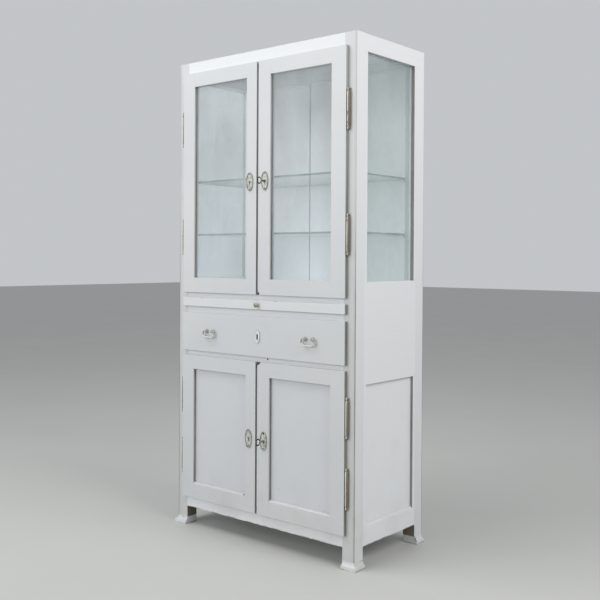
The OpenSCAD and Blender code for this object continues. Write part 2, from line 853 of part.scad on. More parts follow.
// Room for a lock in a right-hand door: its case, and a keyhole in front of it
module lock_room(w, up) {
    block([w - case_w - fit_gap, w + 1], [case_y - fit_gap, front_t + 1],
        [up - case_h / 2 - fit_gap, up + case_h / 2 + fit_gap]);
    translate([w - key_in, 0, up])
        keyhole(key_r + key_clear, door_slot_w, bit_reach + key_clear, -1, case_y + 1);
}

// The tongue along a left-hand door's meeting edge, and its hole for the lock's bolt
module tongue(w, h) {
    end = rail_lip + opening_gap + tongue_end;
    block([w - lap, w + tongue_w], [tongue_back, front_t], [end, h - end]);
}
module strike_hole(w, up) {
    block([w - 2, w + tongue_w + 1], [bolt_y - 1, bolt_y + bolt_t + 1],
        [up + bolt_up - 1, up + bolt_up + bolt_h + 1]);
}
module blind_keyhole(w, up) {
    translate([w - left_plate_in, 0, up])
        keyhole(key_r + key_clear, door_slot_w, bit_reach + key_clear, -1, tongue_back);
}

// What a glazed door loses to its pane, and a panelled one to its panel and sill
module pane_rebate(w, h, meet) {
    block([hinge_stile - rebate_w, w - meet + rebate_w], [glass_back, front_t + 1],
        [glazed_bottom_h - rebate_w, h - glazed_top_h + rebate_w]);
}
module panel_groove(w, h, meet) {
    block([hinge_stile - groove_d, w - meet + groove_d],
        [panel_back - fit_gap, panel_back + panel_t + fit_gap],
        [panelled_bottom_h - groove_d, h - panelled_top_h + groove_d]);
    translate([hinge_stile, 0, panelled_bottom_h - sill_bevel]) rotate([90, 0, 90])
        linear_extrude(w - meet - hinge_stile)
            polygon([[0, 0], [sill_bevel, sill_bevel], [-1, sill_bevel + 1], [-1, 0]]);
}

module glazed_frame(w, meet) {
    difference() {
        door_pieces(w, glazed_h, meet, glazed_top_h, glazed_bottom_h);
        pane_rebate(w, glazed_h, meet);
        blade_slots(GLAZED_HINGES);
        children();
    }
}
module panelled_frame(w, meet) {
    difference() {
        door_pieces(w, panelled_h, meet, panelled_top_h, panelled_bottom_h);
        panel_groove(w, panelled_h, meet);
        blade_slots(PANELLED_HINGES);
        children();
    }
}

module door_glass(w, meet) {
    block([hinge_stile - rebate_w + fit_gap, w - meet + rebate_w - fit_gap],
        [glass_back, glass_back + glass_t],
        [glazed_bottom_h - rebate_w + fit_gap, glazed_h - glazed_top_h + rebate_w - fit_gap]);
}

module door_beads(w, meet) {
    y = [glass_back + glass_t + fit_gap, front_t];
    x = [hinge_stile - rebate_w, w - meet + rebate_w];
    z = [glazed_bottom_h - rebate_w, glazed_h - glazed_top_h + rebate_w];
    for (x0 = [x[0], x[1] - rebate_w])
        block([x0 + fit_gap, x0 + rebate_w - fit_gap], y, [z[0] + fit_gap, z[1] - fit_gap]);
    for (z0 = [z[0], z[1] - rebate_w])
        block([x[0] + rebate_w, x[1] - rebate_w], y, [z0 + fit_gap, z0 + rebate_w - fit_gap]);
}

module door_panel(w, meet) {
    block([hinge_stile - groove_d + 1, w - meet + groove_d - 1], [panel_back, panel_back + panel_t],
        [panelled_bottom_h - groove_d + 1, panelled_h - panelled_top_h + groove_d - 1]);
}

module door_hinges(heights) {
    for (z = heights)
        translate([-barrel_out, proud + hinge_y, z]) mirror([1, 0, 0]) door_leaf();
}

// ---------------------------------------------------------------- plates, locks, keys

// An oval keyhole plate with a raised rim, standing on a front's face
module keyhole_plate(w, h, hole_r, slot_w, slot_l) {
    difference() {
        union() {
            oval(w, h, -plate_t, 0);
            difference() {
                oval(w, h, -plate_t - rim_h, -plate_t + lap);
                oval(w - 2 * rim_w, h - 2 * rim_w, -plate_t - rim_h - 1, 1);
            }
        }
        keyhole(hole_r, slot_w, slot_l, -plate_t - 1, 1);
    }
}

module door_plate() {
    keyhole_plate(plate_w, plate_h, key_r + key_clear, plate_slot_w, bit_reach + key_clear);
}

// A door lock, drawn around the key's axis: Y is measured from the door's face
module lock_case() {
    x = [key_in - case_w, key_in - fit_gap];
    difference() {
        block(x, [case_y, front_t], [-case_h / 2, case_h / 2]);
        block([x[0] + case_wall, x[1] - case_wall], [case_y + case_wall, front_t - case_wall],
            [-case_h / 2 + case_wall, case_h / 2 - case_wall]);
        keyhole(key_r + pin_play, 3, bit_reach + pin_play, case_y - 1, case_y + case_wall + 1);
        block([x[1] - case_wall - 1, x[1] + 1], [bolt_y - fit_gap, bolt_y + bolt_t + fit_gap],
            [bolt_up - fit_gap, bolt_up + bolt_h + fit_gap]);
    }
}

module lock_bolt() {
    block([key_in - case_w + 2 * case_wall, key_in - 0.5], [bolt_y, bolt_y + bolt_t],
        [bolt_up, bolt_up + bolt_h]);
}

// Outline of a key's bow, an upright ring with rounded ends
module bow_outline(grow) {
    r = bow_l / 2 + grow;
    for (z = [-1, 1]) translate([0, z * (bow_h - bow_l) / 2]) circle(r = r);
    square([2 * r, bow_h - bow_l], center = true);
}

module key() {
    bow_y = -key_reach + bow_l / 2;
    collar_y = -plate_t - rim_h - key_collar_gap;
    rod_y(key_r, bow_y + bow_l / 2 - bow_band / 2, stem_end);
    rod_y(key_r + key_collar_out, collar_y, collar_y + key_collar_l);
    translate([0, bow_y, 0]) rotate([90, 0, 90]) translate([0, 0, -key_t / 2]) linear_extrude(key_t)
        difference() {
            bow_outline(0);
            bow_outline(-bow_band);
        }
    block([-bit_t / 2, bit_t / 2], [case_y + case_wall + bit_gap, stem_end - bit_short], [-bit_reach, 0]);
}

// ---------------------------------------------------------------- bolts of the left doors

// Staples and back plate of a bolt, drawn from the door's back face and inset end
module latch_plate() {
    slot_x = latch_w / 2 + slide_gap;
    slot_y = front_t + latch_plate_t + latch_t + slide_gap;
    staple_x = slot_x + staple_t;
    block([-latch_plate_w / 2, latch_plate_w / 2], [front_t, front_t + latch_plate_t],
        [-latch_plate_h, 0]);
    for (z = [-latch_plate_h + staple_h, -2 * staple_h])
        difference() {
            block([-staple_x, staple_x],
                [front_t + latch_plate_t - lap, slot_y + latch_plate_t], [z, z + staple_h]);
            block([-slot_x, slot_x], [front_t + latch_plate_t, slot_y], [z - 1, z + staple_h + 1]);
        }
}

module latch() {
    y = front_t + latch_plate_t + fit_gap;
    block([-latch_w / 2, latch_w / 2], [y, y + latch_t - fit_gap], [-latch_h, 0]);
    translate([0, 0, -latch_knob_down]) {
        rod_y(latch_knob_r * 2 / 3, y + latch_t - latch_neck_sunk, y + latch_t + latch_neck_l);
        translate([0, y + latch_t + latch_knob_out, 0]) sphere(r = latch_knob_r);
    }
}

module left_latch_place(z, h) {
    left_door_place(z)
        translate([left_w - latch_in, 0, h - rail_lip - opening_gap - latch_top_gap]) children();
}

// ---------------------------------------------------------------- door nodes

module upper_left_door_frame() {
    color(PAINT) left_door_place(glazed_z) difference() {
        union() {
            glazed_frame(left_w, left_stile) blind_keyhole(left_w, glazed_lock_up);
            tongue(left_w, glazed_h);
        }
        strike_hole(left_w, glazed_lock_up);
    }
}
module upper_left_door_glass() {
    color(PANE) left_door_place(glazed_z) door_glass(left_w, left_stile);
}
module upper_left_door_beads() {
    color(INNER_PAINT) left_door_place(glazed_z) door_beads(left_w, left_stile);
}
module upper_left_door_hinges() {
    color(PAINT) left_door_place(glazed_z) door_hinges(GLAZED_HINGES);
}
module upper_left_plate() {
    color(BRASS) left_door_place(glazed_z)
        translate([left_w - left_plate_in, 0, glazed_lock_up]) door_plate();
}
module upper_latch_plate() {
    color(STEEL) left_latch_place(glazed_z, glazed_h) latch_plate();
}
module upper_latch() {
    color(STEEL) left_latch_place(glazed_z, glazed_h) latch();
}

module upper_right_door_frame() {
    color(PAINT) right_door_place(glazed_z)
        glazed_frame(right_w, right_stile) lock_room(right_w, glazed_lock_up);
}
module upper_right_door_glass() {
    color(PANE) right_door_place(glazed_z) door_glass(right_w, right_stile);
}
module upper_right_door_beads() {
    color(INNER_PAINT) right_door_place(glazed_z) door_beads(right_w, right_stile);
}
module upper_right_door_hinges() {
    color(PAINT) right_door_place(glazed_z) door_hinges(GLAZED_HINGES);
}
module upper_lock_place() {
    right_door_place(glazed_z) translate([right_w - key_in, 0, glazed_lock_up]) children();
}
module upper_right_plate() {
    color(BRASS) upper_lock_place() door_plate();
}
module upper_lock_case() {
    color(STEEL) upper_lock_place() lock_case();
}
module upper_lock_bolt() {
    color(STEEL) upper_lock_place() lock_bolt();
}
module upper_key() {
    color(STEEL) upper_lock_place() key();
}

module lower_left_door_frame() {
    color(PAINT) left_door_place(panelled_z) difference() {
        union() {
            panelled_frame(left_w, left_stile) blind_keyhole(left_w, panelled_lock_up);
            tongue(left_w, panelled_h);
        }
        strike_hole(left_w, panelled_lock_up);
    }
}
module lower_left_door_panel() {
    color(PAINT) left_door_place(panelled_z) door_panel(left_w, left_stile);
}
module lower_left_door_hinges() {
    color(PAINT) left_door_place(panelled_z) door_hinges(PANELLED_HINGES);
}
module lower_left_plate() {
    color(BRASS) left_door_place(panelled_z)
        translate([left_w - left_plate_in, 0, panelled_lock_up]) door_plate();
}
module lower_latch_plate() {
    color(STEEL) left_latch_place(panelled_z, panelled_h) latch_plate();
}
module lower_latch() {
    color(STEEL) left_latch_place(panelled_z, panelled_h) latch();
}

module lower_right_door_frame() {
    color(PAINT) right_door_place(panelled_z)
        panelled_frame(right_w, right_stile) lock_room(right_w, panelled_lock_up);
}
module lower_right_door_panel() {
    color(PAINT) right_door_place(panelled_z) door_panel(right_w, right_stile);
}
module lower_right_door_hinges() {
    color(PAINT) right_door_place(panelled_z) door_hinges(PANELLED_HINGES);
}
module lower_lock_place() {
    right_door_place(panelled_z) translate([right_w - key_in, 0, panelled_lock_up]) children();
}
module lower_right_plate() {
    color(BRASS) lower_lock_place() door_plate();
}
module lower_lock_case() {
    color(STEEL) lower_lock_place() lock_case();
}
module lower_lock_bolt() {
    color(STEEL) lower_lock_place() lock_bolt();
}
module lower_key() {
    color(NICKEL) lower_lock_place() key();
}

// ---------------------------------------------------------------- drawer

drawer_side_z = [z_drawer + slide_gap, z_drawer + slide_gap + drawer_side_h];
drawer_bottom_z = drawer_side_z[0] + drawer_bottom_up;
drawer_inner_x = drawer_in_x - drawer_side_t;
drawer_top_z = z_slide_rail - opening_gap;
drawer_key_z = drawer_mid_z + drawer_key_up;

module drawer_front() {
    color(PAINT) placed() difference() {
        union() {
            block([-lip_x, lip_x], [-proud, -front_gap], [z_drawer - rail_lip, z_slide_rail + rail_lip]);
            block([-post_x + opening_gap, post_x - opening_gap], [-front_gap - lap, inset_t],
                [z_drawer + opening_gap, drawer_top_z]);
        }
        both_sides() block([drawer_inner_x - fit_gap, drawer_in_x + fit_gap],
            [inset_t - housing_d, inset_t + 1],
            [drawer_side_z[0] - 1, drawer_side_z[1] + fit_gap]);
        block([-drawer_inner_x - 1, drawer_inner_x + 1],
            [inset_t - housing_d, inset_t + 1],
            [drawer_bottom_z - fit_gap, drawer_bottom_z + drawer_bottom_t + fit_gap]);
        block([-drawer_case_w / 2 - fit_gap, drawer_case_w / 2 + fit_gap],
            [inset_t - case_t - fit_gap, inset_t + 1],
            [drawer_top_z - drawer_case_h - fit_gap, drawer_top_z + 1]);
        translate([0, 0, drawer_key_z]) keyhole(drawer_hole_r, door_slot_w, drawer_slot_l,
            -proud - 1, inset_t - case_t);
    }
}

module drawer_box() {
    color(BARE_WOOD) placed() {
        both_sides() difference() {
            block([drawer_inner_x, drawer_in_x], [inset_t - housing_d, drawer_back_y], drawer_side_z);
            block([drawer_inner_x - 1, drawer_inner_x + drawer_groove_d],
                [inset_t - housing_d - 1, drawer_back_y + 1],
                [drawer_bottom_z - fit_gap, drawer_bottom_z + drawer_bottom_t + fit_gap]);
        }
        block([-drawer_inner_x + fit_gap / 2, drawer_inner_x - fit_gap / 2],
            [drawer_back_y - drawer_side_t, drawer_back_y],
            [drawer_bottom_z + drawer_bottom_t + fit_gap, drawer_side_z[1] - 5]);
    }
}

module drawer_bottom() {
    color(BARE_WOOD) placed()
        difference() {
            block([-drawer_inner_x - drawer_groove_d + fit_gap, drawer_inner_x + drawer_groove_d - fit_gap],
                [inset_t - housing_d + fit_gap, drawer_back_y],
                [drawer_bottom_z, drawer_bottom_z + drawer_bottom_t]);
            both_sides() block([drawer_inner_x + 0.8, drawer_in_x + 1],
                [inset_t - housing_d - 1, inset_t + fit_gap],
                [drawer_bottom_z - 1, drawer_bottom_z + drawer_bottom_t + 1]);
        }
}

module drawer_plate() {
    color(PAINT) placed() translate([0, -proud, drawer_key_z])
        keyhole_plate(drawer_plate_w, drawer_plate_h, drawer_hole_r, plate_slot_w, drawer_slot_l);
}

module drawer_lock_case() {
    x = drawer_case_w / 2;
    z = [drawer_top_z - drawer_case_h, drawer_top_z];
    slot = fit_gap;
    color(STEEL) placed() difference() {
        block([-x, x], [inset_t - case_t, inset_t], z);
        block([-x + case_wall, x - case_wall], [inset_t - case_t + case_wall, inset_t - case_wall],
            [z[0] + case_wall, z[1] - case_wall]);
        translate([0, 0, drawer_key_z])
            keyhole(3, 3, bit_reach, inset_t - case_t - 1, inset_t - case_t + case_wall + 1);
        block([-drawer_bolt_w / 2 - slot, drawer_bolt_w / 2 + slot],
            [drawer_bolt_y - slot, drawer_bolt_y + drawer_bolt_t + slot], [z[1] - case_wall - 1, z[1] + 1]);
    }
}

module drawer_lock_bolt() {
    color(STEEL) placed()
        block([-drawer_bolt_w / 2, drawer_bolt_w / 2],
            [drawer_bolt_y, drawer_bolt_y + drawer_bolt_t],
            [drawer_key_z + bit_reach + drawer_bolt_throw, drawer_top_z - drawer_bolt_short]);
}

// Posts of the handles: a rosette, and a stub with a cross hole for the handle's ends
module handle_post() {
    difference() {
        union() {
            rod_y(rosette_r, -rosette_t, 0);
            rod_y(bail_post_r, -bail_axis_out - 3.4, 0);
        }
        translate([0, -bail_axis_out, 0])
            rod_x(bail_pin_r + pin_play, -bail_post_r - 1, bail_post_r + 1);
    }
}

module handle_posts() {
    color(PAINT) placed()
        for (x = [-handle_x, handle_x], side = [-1, 1])
            translate([x + side * bail_posts_w / 2, -proud, bail_z]) handle_post();
}

// A quarter bend of the handle's bar, from the direction -X round to -Z
module quarter_bend(r) {
    rotate([90, 0, 0]) rotate_extrude(angle = 90) translate([r, 0]) circle(r = bail_r);
}

// Right half of a handle, drawn around its axis
module half_handle() {
    pin_x = bail_posts_w / 2;
    shoulder_x = pin_x + bail_post_r + 0.3;
    low_x = bail_bar_x - bail_low_bend;
    top_x = bail_bar_x - bail_top_bend;
    rod_x(bail_pin_r, pin_x - bail_post_r, shoulder_x + 1);
    rod_x(bail_r, shoulder_x, top_x);
    translate([top_x, 0, -bail_top_bend]) quarter_bend(bail_top_bend);
    translate([bail_bar_x, 0, -bail_drop + bail_low_bend])
        cylinder(r = bail_r, h = bail_drop - bail_low_bend - bail_top_bend);
    translate([low_x, 0, -bail_drop + bail_low_bend]) mirror([0, 0, 1]) quarter_bend(bail_low_bend);
    translate([0, 0, -bail_drop]) rod_x(bail_r, -1, low_x);
}

module handle(x) {
    placed() translate([x, -proud - bail_axis_out, bail_z]) both_sides() half_handle();
}
module left_handle() {
    color(PAINT) handle(-handle_x);
}
module right_handle() {
    color(PAINT) handle(handle_x);
}

// ---------------------------------------------------------------- pull-out shelf

slide_z = [z_slide + slide_gap, z_slide + slide_gap + slide_board_t];

module slide_board() {
    color(BARE_WOOD) placed() {
        block([-post_x + opening_gap, post_x - opening_gap],
            [-front_gap, back_rail_y - slide_back_room], slide_z);
        block([-post_x + opening_gap, post_x - opening_gap], [-slide_tongue, -front_gap + lap],
            [slide_z[0] + 4, slide_z[1] - 4]);
    }
}

module slide_front() {
    color(PAINT) placed() difference() {
        block([-lip_x, lip_x], [-proud, -front_gap], [z_slide - rail_lip, z_waist_rail + rail_lip]);
        block([-post_x + opening_gap - fit_gap, post_x - opening_gap + fit_gap],
            [-slide_tongue - fit_gap, 1], [slide_z[0] + 4 - fit_gap, slide_z[1] - 4 + fit_gap]);
    }
}

module slide_knob() {
    neck = knob_r * 0.5;
    color(BRASS) placed() translate([0, -proud, slide_mid_z]) rotate([90, 0, 0])
        rotate_extrude()
            polygon(concat(
                [[0, 0], [knob_r * 0.78, 0], [knob_r * 0.72, 1.6], [neck, 3], [neck, knob_l * 0.4]],
                [for (a = [-50 : 10 : 90])
                    [knob_r * cos(a), knob_l * 0.68 + knob_l * 0.32 * sin(a)]]));
}

front_posts();
rear_posts();
feet();
top_board();
front_rails();
back_rails();
back_boards();
side_frames();
side_glass();
side_beads();
side_panels();
display_floor();
bearers();
cupboard_floor();
cupboard_shelf();
shelf_cleats();
glass_shelves();
shelf_pegs();
hinge_post_leaves();
hinge_pins();
upper_left_door_frame();
upper_left_door_glass();
upper_left_door_beads();
upper_left_door_hinges();
upper_left_plate();
upper_latch_plate();
upper_latch();
upper_right_door_frame();
upper_right_door_glass();
upper_right_door_beads();
upper_right_door_hinges();
upper_right_plate();
upper_lock_case();
upper_lock_bolt();
upper_key();
lower_left_door_frame();
lower_left_door_panel();
lower_left_door_hinges();
lower_left_plate();
lower_latch_plate();
lower_latch();
lower_right_door_frame();
lower_right_door_panel();
lower_right_door_hinges();
lower_right_plate();
lower_lock_case();
lower_lock_bolt();
lower_key();
drawer_front();
drawer_box();
drawer_bottom();
drawer_plate();
drawer_lock_case();
drawer_lock_bolt();
handle_posts();
left_handle();
right_handle();
slide_board();
slide_front();
slide_knob();
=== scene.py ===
import json
import math

import bmesh
import bpy
from mathutils import Matrix, Vector


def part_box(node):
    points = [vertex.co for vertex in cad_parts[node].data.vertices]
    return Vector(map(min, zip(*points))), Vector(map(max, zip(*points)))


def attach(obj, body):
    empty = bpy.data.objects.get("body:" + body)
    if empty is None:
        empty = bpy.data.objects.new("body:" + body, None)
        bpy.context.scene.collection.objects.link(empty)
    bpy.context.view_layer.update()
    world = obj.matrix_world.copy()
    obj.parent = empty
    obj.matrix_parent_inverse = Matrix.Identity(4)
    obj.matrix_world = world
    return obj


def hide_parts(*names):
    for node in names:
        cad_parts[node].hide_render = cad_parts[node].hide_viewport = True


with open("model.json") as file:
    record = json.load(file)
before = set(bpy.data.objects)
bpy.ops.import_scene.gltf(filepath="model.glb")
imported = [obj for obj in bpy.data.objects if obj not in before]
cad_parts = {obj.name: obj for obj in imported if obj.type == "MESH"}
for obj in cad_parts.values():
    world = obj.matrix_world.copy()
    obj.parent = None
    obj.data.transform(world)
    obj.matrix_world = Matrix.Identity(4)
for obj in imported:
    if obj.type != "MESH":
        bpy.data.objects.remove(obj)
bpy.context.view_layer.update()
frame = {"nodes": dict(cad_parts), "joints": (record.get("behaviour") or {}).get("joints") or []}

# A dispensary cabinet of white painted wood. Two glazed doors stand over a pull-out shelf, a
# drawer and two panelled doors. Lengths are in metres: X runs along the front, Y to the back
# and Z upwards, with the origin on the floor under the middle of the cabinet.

NODES = frame["nodes"]
MM = 0.001
RIM_W = 3 * MM

# ---------------------------------------------------------------- places on the cabinet

POST_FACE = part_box("front_posts")[0].y
DOOR_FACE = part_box("upper_right_door_frame")[0].y
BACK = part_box("rear_posts")[1].y
OUTSIDE_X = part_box("front_posts")[1].x
CABINET_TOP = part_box("front_posts")[1].z
RAIL_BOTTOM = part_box("front_rails")[0].z
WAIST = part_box("slide_front")[0].z
DOOR_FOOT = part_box("upper_right_door_frame")[0].z
CUPBOARD_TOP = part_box("lower_right_door_frame")[1].z
BOARD_JOINT_X = 100 * MM
JOINTS = {joint["name"]: joint for joint in frame["joints"]}
UPPER_DOORS = ("upper_left_door", "upper_right_door")
LOWER_DOORS = ("lower_left_door", "lower_right_door")


def axis_place(joint):
    """A point on a joint's axis."""
    return Vector(JOINTS[joint]["pos_m"])


# ---------------------------------------------------------------- finishes


def shade(red, green, blue):
    """A colour given as on a paint chart, from 0 to 255, as the share of light it sends back."""
    parts = [value / 255 for value in (red, green, blue)]
    light = [v / 12.92 if v <= 0.04045 else ((v + 0.055) / 1.055) ** 2.4 for v in parts]
    return (*light, 1.0)


class Value:
    """An output of a finish's nodes. A sum written with it adds the Math nodes that work it out."""

    def __init__(self, finish, socket):
        self.finish = finish
        self.socket = socket

    def __add__(self, other):
        return self.finish.maths("ADD", self, other)

    def __sub__(self, other):
        return self.finish.maths("SUBTRACT", self, other)

    def __rsub__(self, other):
        return self.finish.maths("SUBTRACT", other, self)

    def __mul__(self, other):
        return self.finish.maths("MULTIPLY", self, other)

    def __truediv__(self, other):
        return self.finish.maths("DIVIDE", self, other)

    def __gt__(self, other):
        return self.finish.maths("GREATER_THAN", self, other)

    def __lt__(self, other):
        return self.finish.maths("LESS_THAN", self, other)

    def __abs__(self):
        return self.finish.maths("ABSOLUTE", self)


class Finish:
    """A material, and the nodes that its colour, gloss and relief are worked out with."""

    def __init__(self, name):
        self.material = bpy.data.materials.new(name)
        self.material.use_nodes = True
        self.tree = self.material.node_tree
        self.tree.nodes.clear()
        self.place = self.node("ShaderNodeTexCoord", output="Object")
        self.x, self.y, self.z = self.parts(self.place)
        self.facing = self.parts(self.node("ShaderNodeTexCoord", output="Normal"))

    def node(self, kind, settings=None, inputs=None, output=0):
        """Adds a node. Its settings are set first, and then the values or links of its sockets."""
        made = self.tree.nodes.new(kind)
        for name, value in (settings or {}).items():
            setattr(made, name, value)
        for name, value in (inputs or {}).items():
            if isinstance(value, Value):
                self.tree.links.new(value.socket, made.inputs[name])
            else:
                made.inputs[name].default_value = value
        return Value(self, made.outputs[output]) if made.outputs else None

    def maths(self, operation, *values):
        return self.node("ShaderNodeMath", {"operation": operation}, dict(enumerate(values)))

    def parts(self, vector):
        """The three numbers that make up a vector."""
        split = self.node("ShaderNodeSeparateXYZ", {}, {0: vector}).socket.node
        return [Value(self, output) for output in split.outputs]

    def most(self, first, *others):
        """The largest of several values."""
        for other in others:
            first = self.maths("MAXIMUM", first, other)
        return first

    def rise(self, value, low, high):
        """0 below low, 1 above high, and a soft step between them. Low may be the larger one."""
        inputs = {"Value": value, "From Min": low, "From Max": high}
        return self.node("ShaderNodeMapRange", {"interpolation_type": "SMOOTHSTEP"}, inputs)

    def spread(self, value, low, high):
        """A value from 0 to 1 as one from low to high."""
        return self.node("ShaderNodeMapRange", {}, {"Value": value, "To Min": low, "To Max": high})

    def near(self, point, radius):
        """1 at a point, falling to 0 at radius from it."""
        inputs = {0: self.place, 1: tuple(point)}
        away = self.node("ShaderNodeVectorMath", {"operation": "DISTANCE"}, inputs, "Value")
        return self.rise(away, radius, 0.0)

    def cloud(self, scale, detail=3.0, rough=0.55, shift=(0, 0, 0)):
        """Soft blotches from 0 to 1. Scale is their number to the metre, each way or one way."""
        scale = scale if isinstance(scale, tuple) else (scale,) * 3
        inputs = {"Vector": self.place, "Scale": scale, "Location": shift}
        spots = self.node("ShaderNodeMapping", {}, inputs)
        inputs = {"Vector": spots, "Scale": 1.0, "Detail": detail, "Roughness": rough}
        return self.node("ShaderNodeTexNoise", {}, inputs)

    def mix(self, factor, first, second):
        """A colour between two others."""
        return self.node("ShaderNodeMix", {"data_type": "RGBA"}, {0: factor, 6: first, 7: second}, 2)

    def arris(self):
        """1 on the eased edges of square work, whose facets face along no axis, and 0 on the flats."""
        flat = self.most(*[abs(part) for part in self.facing])
        return self.rise(flat, 0.995, 0.95)

    def relief(self, height, depth):
        """Normals for a height from 0 to 1 that stands up by depth."""
        return self.node("ShaderNodeBump", {}, {"Height": height, "Distance": depth})

    def shader(self, colour, roughness, normal=None, metal=0.0, **fixed):
        """The shader of an ordinary finish. Fixed are sockets that are the same all over it."""
        inputs = {"Base Color": colour, "Roughness": roughness, "Metallic": metal}
        if normal is not None:
            inputs["Normal"] = normal
        inputs.update({name.replace("_", " "): value for name, value in fixed.items()})
        return self.node("ShaderNodeBsdfPrincipled", {}, inputs)

    def done(self, shader):
        self.node("ShaderNodeOutputMaterial", {}, {"Surface": shader})
        return self.material


# The cabinet's white paint, given different values part by part: FRONT_WHITE on the fronts is darker than
# WHITE partly as painted shade, and INSIDE_WHITE inside the cabinet is lighter partly as painted light.
WHITE = shade(213, 215, 217)
FRONT_WHITE = shade(195, 197, 199)
WARM_WHITE = shade(210, 209, 206)
SLIDE_WHITE = shade(204, 206, 207)
PANEL_WHITE = shade(193, 196, 200)
POST_WHITE = shade(190, 191, 192)
INSIDE_WHITE = shade(248, 252, 253)
OLIVE = shade(120, 120, 110)
BROWN = shade(102, 97, 86)
# A grey for dirt, also used as painted shade where the paint greys towards the floor.
GREY_DIRT_AND_SHADE = shade(138, 138, 134)
WORN_EDGE = shade(104, 99, 90)
CHIP_DARK = shade(58, 53, 47)
DUST = shade(220, 229, 231)
DUST_AND_GREEN_REFLECTION = shade(198, 207, 207)
DARK_WOOD = shade(84, 75, 65)
LEG_WOOD = shade(128, 116, 102)


def grain_scale(along, fine, long):
    """Pattern scales for marks that run along an axis: long of them along it and fine across."""
    return tuple(long if axis == along else fine for axis in "XYZ")


def brushed(finish, along, cross=None, joint=None):
    """The marks of a brush, along an axis. Where joint is 1 they run along cross instead."""
    marks = finish.cloud(grain_scale(along, 260, 5), 2)
    if cross is None:
        return marks
    others = finish.cloud(grain_scale(cross, 260, 5), 2)
    return marks * (1 - joint) + others * joint


def paint(finish, colour, marks, wear=0.5, stain=None, bare=None, chips=(), greying=0.04):
    """Old oil paint on wood. Stain is where dirt has turned it brown, bare is where it never was
    painted, and chips are points where it has come off, each with a size. Wear is how much has
    gone from its edges, and greying how much greyer it is near the floor than at the top, partly
    with dirt and partly as painted shade for the light that falls off towards the floor."""
    tone = finish.cloud(1.7, 3)
    dirt = finish.cloud(9, 6, 0.62)
    coat = finish.mix(finish.rise(tone, 0.35, 0.7) * 0.28, colour, WARM_WHITE)
    coat = finish.mix(finish.rise(dirt, 0.58, 0.82) * 0.11, coat, GREY_DIRT_AND_SHADE)
    coat = finish.mix(finish.rise(marks, 0.5, 0.85) * 0.07, coat, GREY_DIRT_AND_SHADE)
    low = finish.rise(finish.z, 0.35, 0.0)
    coat = finish.mix(low * finish.rise(dirt, 0.4, 0.65) * 0.14, coat, GREY_DIRT_AND_SHADE)
    # Greyer towards the floor: partly dirt, and partly painted shade for the light falling off downwards.
    coat = finish.mix(finish.rise(finish.z, CABINET_TOP, 0.0) * greying, coat, GREY_DIRT_AND_SHADE)
    if stain is not None:
        aged = finish.rise(finish.cloud((30, 30, 7), 4), 0.36, 0.66)
        dark = finish.mix(aged, OLIVE, BROWN)
        coat = finish.mix(stain, coat, dark)
    edge = finish.arris()
    rubbed = finish.cloud(26, 5, 0.6, (4, 1, 7))
    gone = edge * finish.rise(rubbed, 0.66 - 0.2 * wear, 0.74 - 0.2 * wear)
    flakes = finish.rise(finish.cloud(48, 2, 0.5, (9, 3, 5)), 0.81, 0.83)
    gone = finish.most(gone, flakes)
    coat = finish.mix(edge * 0.12, coat, WORN_EDGE)
    wood = finish.mix(finish.rise(marks, 0.3, 0.7), DARK_WOOD, LEG_WOOD)
    if bare is not None:
        gone = finish.most(gone, bare)
    coat = finish.mix(gone, coat, wood)
    for point, size in chips:
        chip = finish.rise(finish.near(point, size) + rubbed * 0.3, 0.5, 0.62)
        coat = finish.mix(chip, coat, CHIP_DARK)
        gone = finish.most(gone, chip)
    height = marks * 0.25 + finish.cloud(34, 3) * 0.2 + (1 - gone) * 0.55
    gloss = finish.spread(dirt, 0.34, 0.5) + gone * 0.3
    return finish.done(finish.shader(coat, gloss, finish.relief(height, 0.35 * MM)))


def inside_paint(name, along):
    finish = Finish(name)
    return paint(finish, INSIDE_WHITE, brushed(finish, along), 0.2)


def board_paint(name):
    """Paint inside the back, grey along the joints of its three boards, with dust and with painted shade in
    their grooves.
    """
    finish = Finish(name)
    # Along each joint the paint goes blue-grey: dust, and painted shade in the groove.
    gap = finish.rise(abs(abs(finish.x) - BOARD_JOINT_X), 5 * MM, 1.8 * MM)
    joint_dust_and_shade = finish.mix(gap * 0.85, INSIDE_WHITE, shade(138, 153, 162))
    return paint(finish, joint_dust_and_shade, brushed(finish, "Z"), 0.1)


def bare_wood(name, along, cross=None):
    """Unpainted softwood that age has browned, with its grain along one axis. On the faces that
    look along Y it runs along cross, if that is given."""
    finish = Finish(name)
    turned_face = finish.rise(abs(finish.facing[1]), 0.6, 0.8)

    def figure(fine, long, detail):
        pattern = finish.cloud(grain_scale(along, fine, long), detail, 0.6)
        if cross is None:
            return pattern
        other = finish.cloud(grain_scale(cross, fine, long), detail, 0.6)
        return pattern * (1 - turned_face) + other * turned_face

    wave = figure(9, 0.8, 2)
    rings = figure(85, 2.2, 3)
    pores = figure(620, 14, 2)
    grain = finish.rise(rings + wave * 0.5, 0.45, 1.05)
    colour = finish.mix(grain, shade(196, 168, 130), shade(142, 108, 74))
    colour = finish.mix(finish.rise(pores, 0.6, 0.8) * 0.5, colour, shade(96, 70, 48))
    colour = finish.mix(finish.rise(finish.cloud(5, 4), 0.5, 0.8) * 0.35, colour, shade(120, 104, 86))
    normal = finish.relief(grain * 0.6 + pores * 0.4, 0.25 * MM)
    return finish.done(finish.shader(colour, finish.spread(pores, 0.55, 0.75), normal))


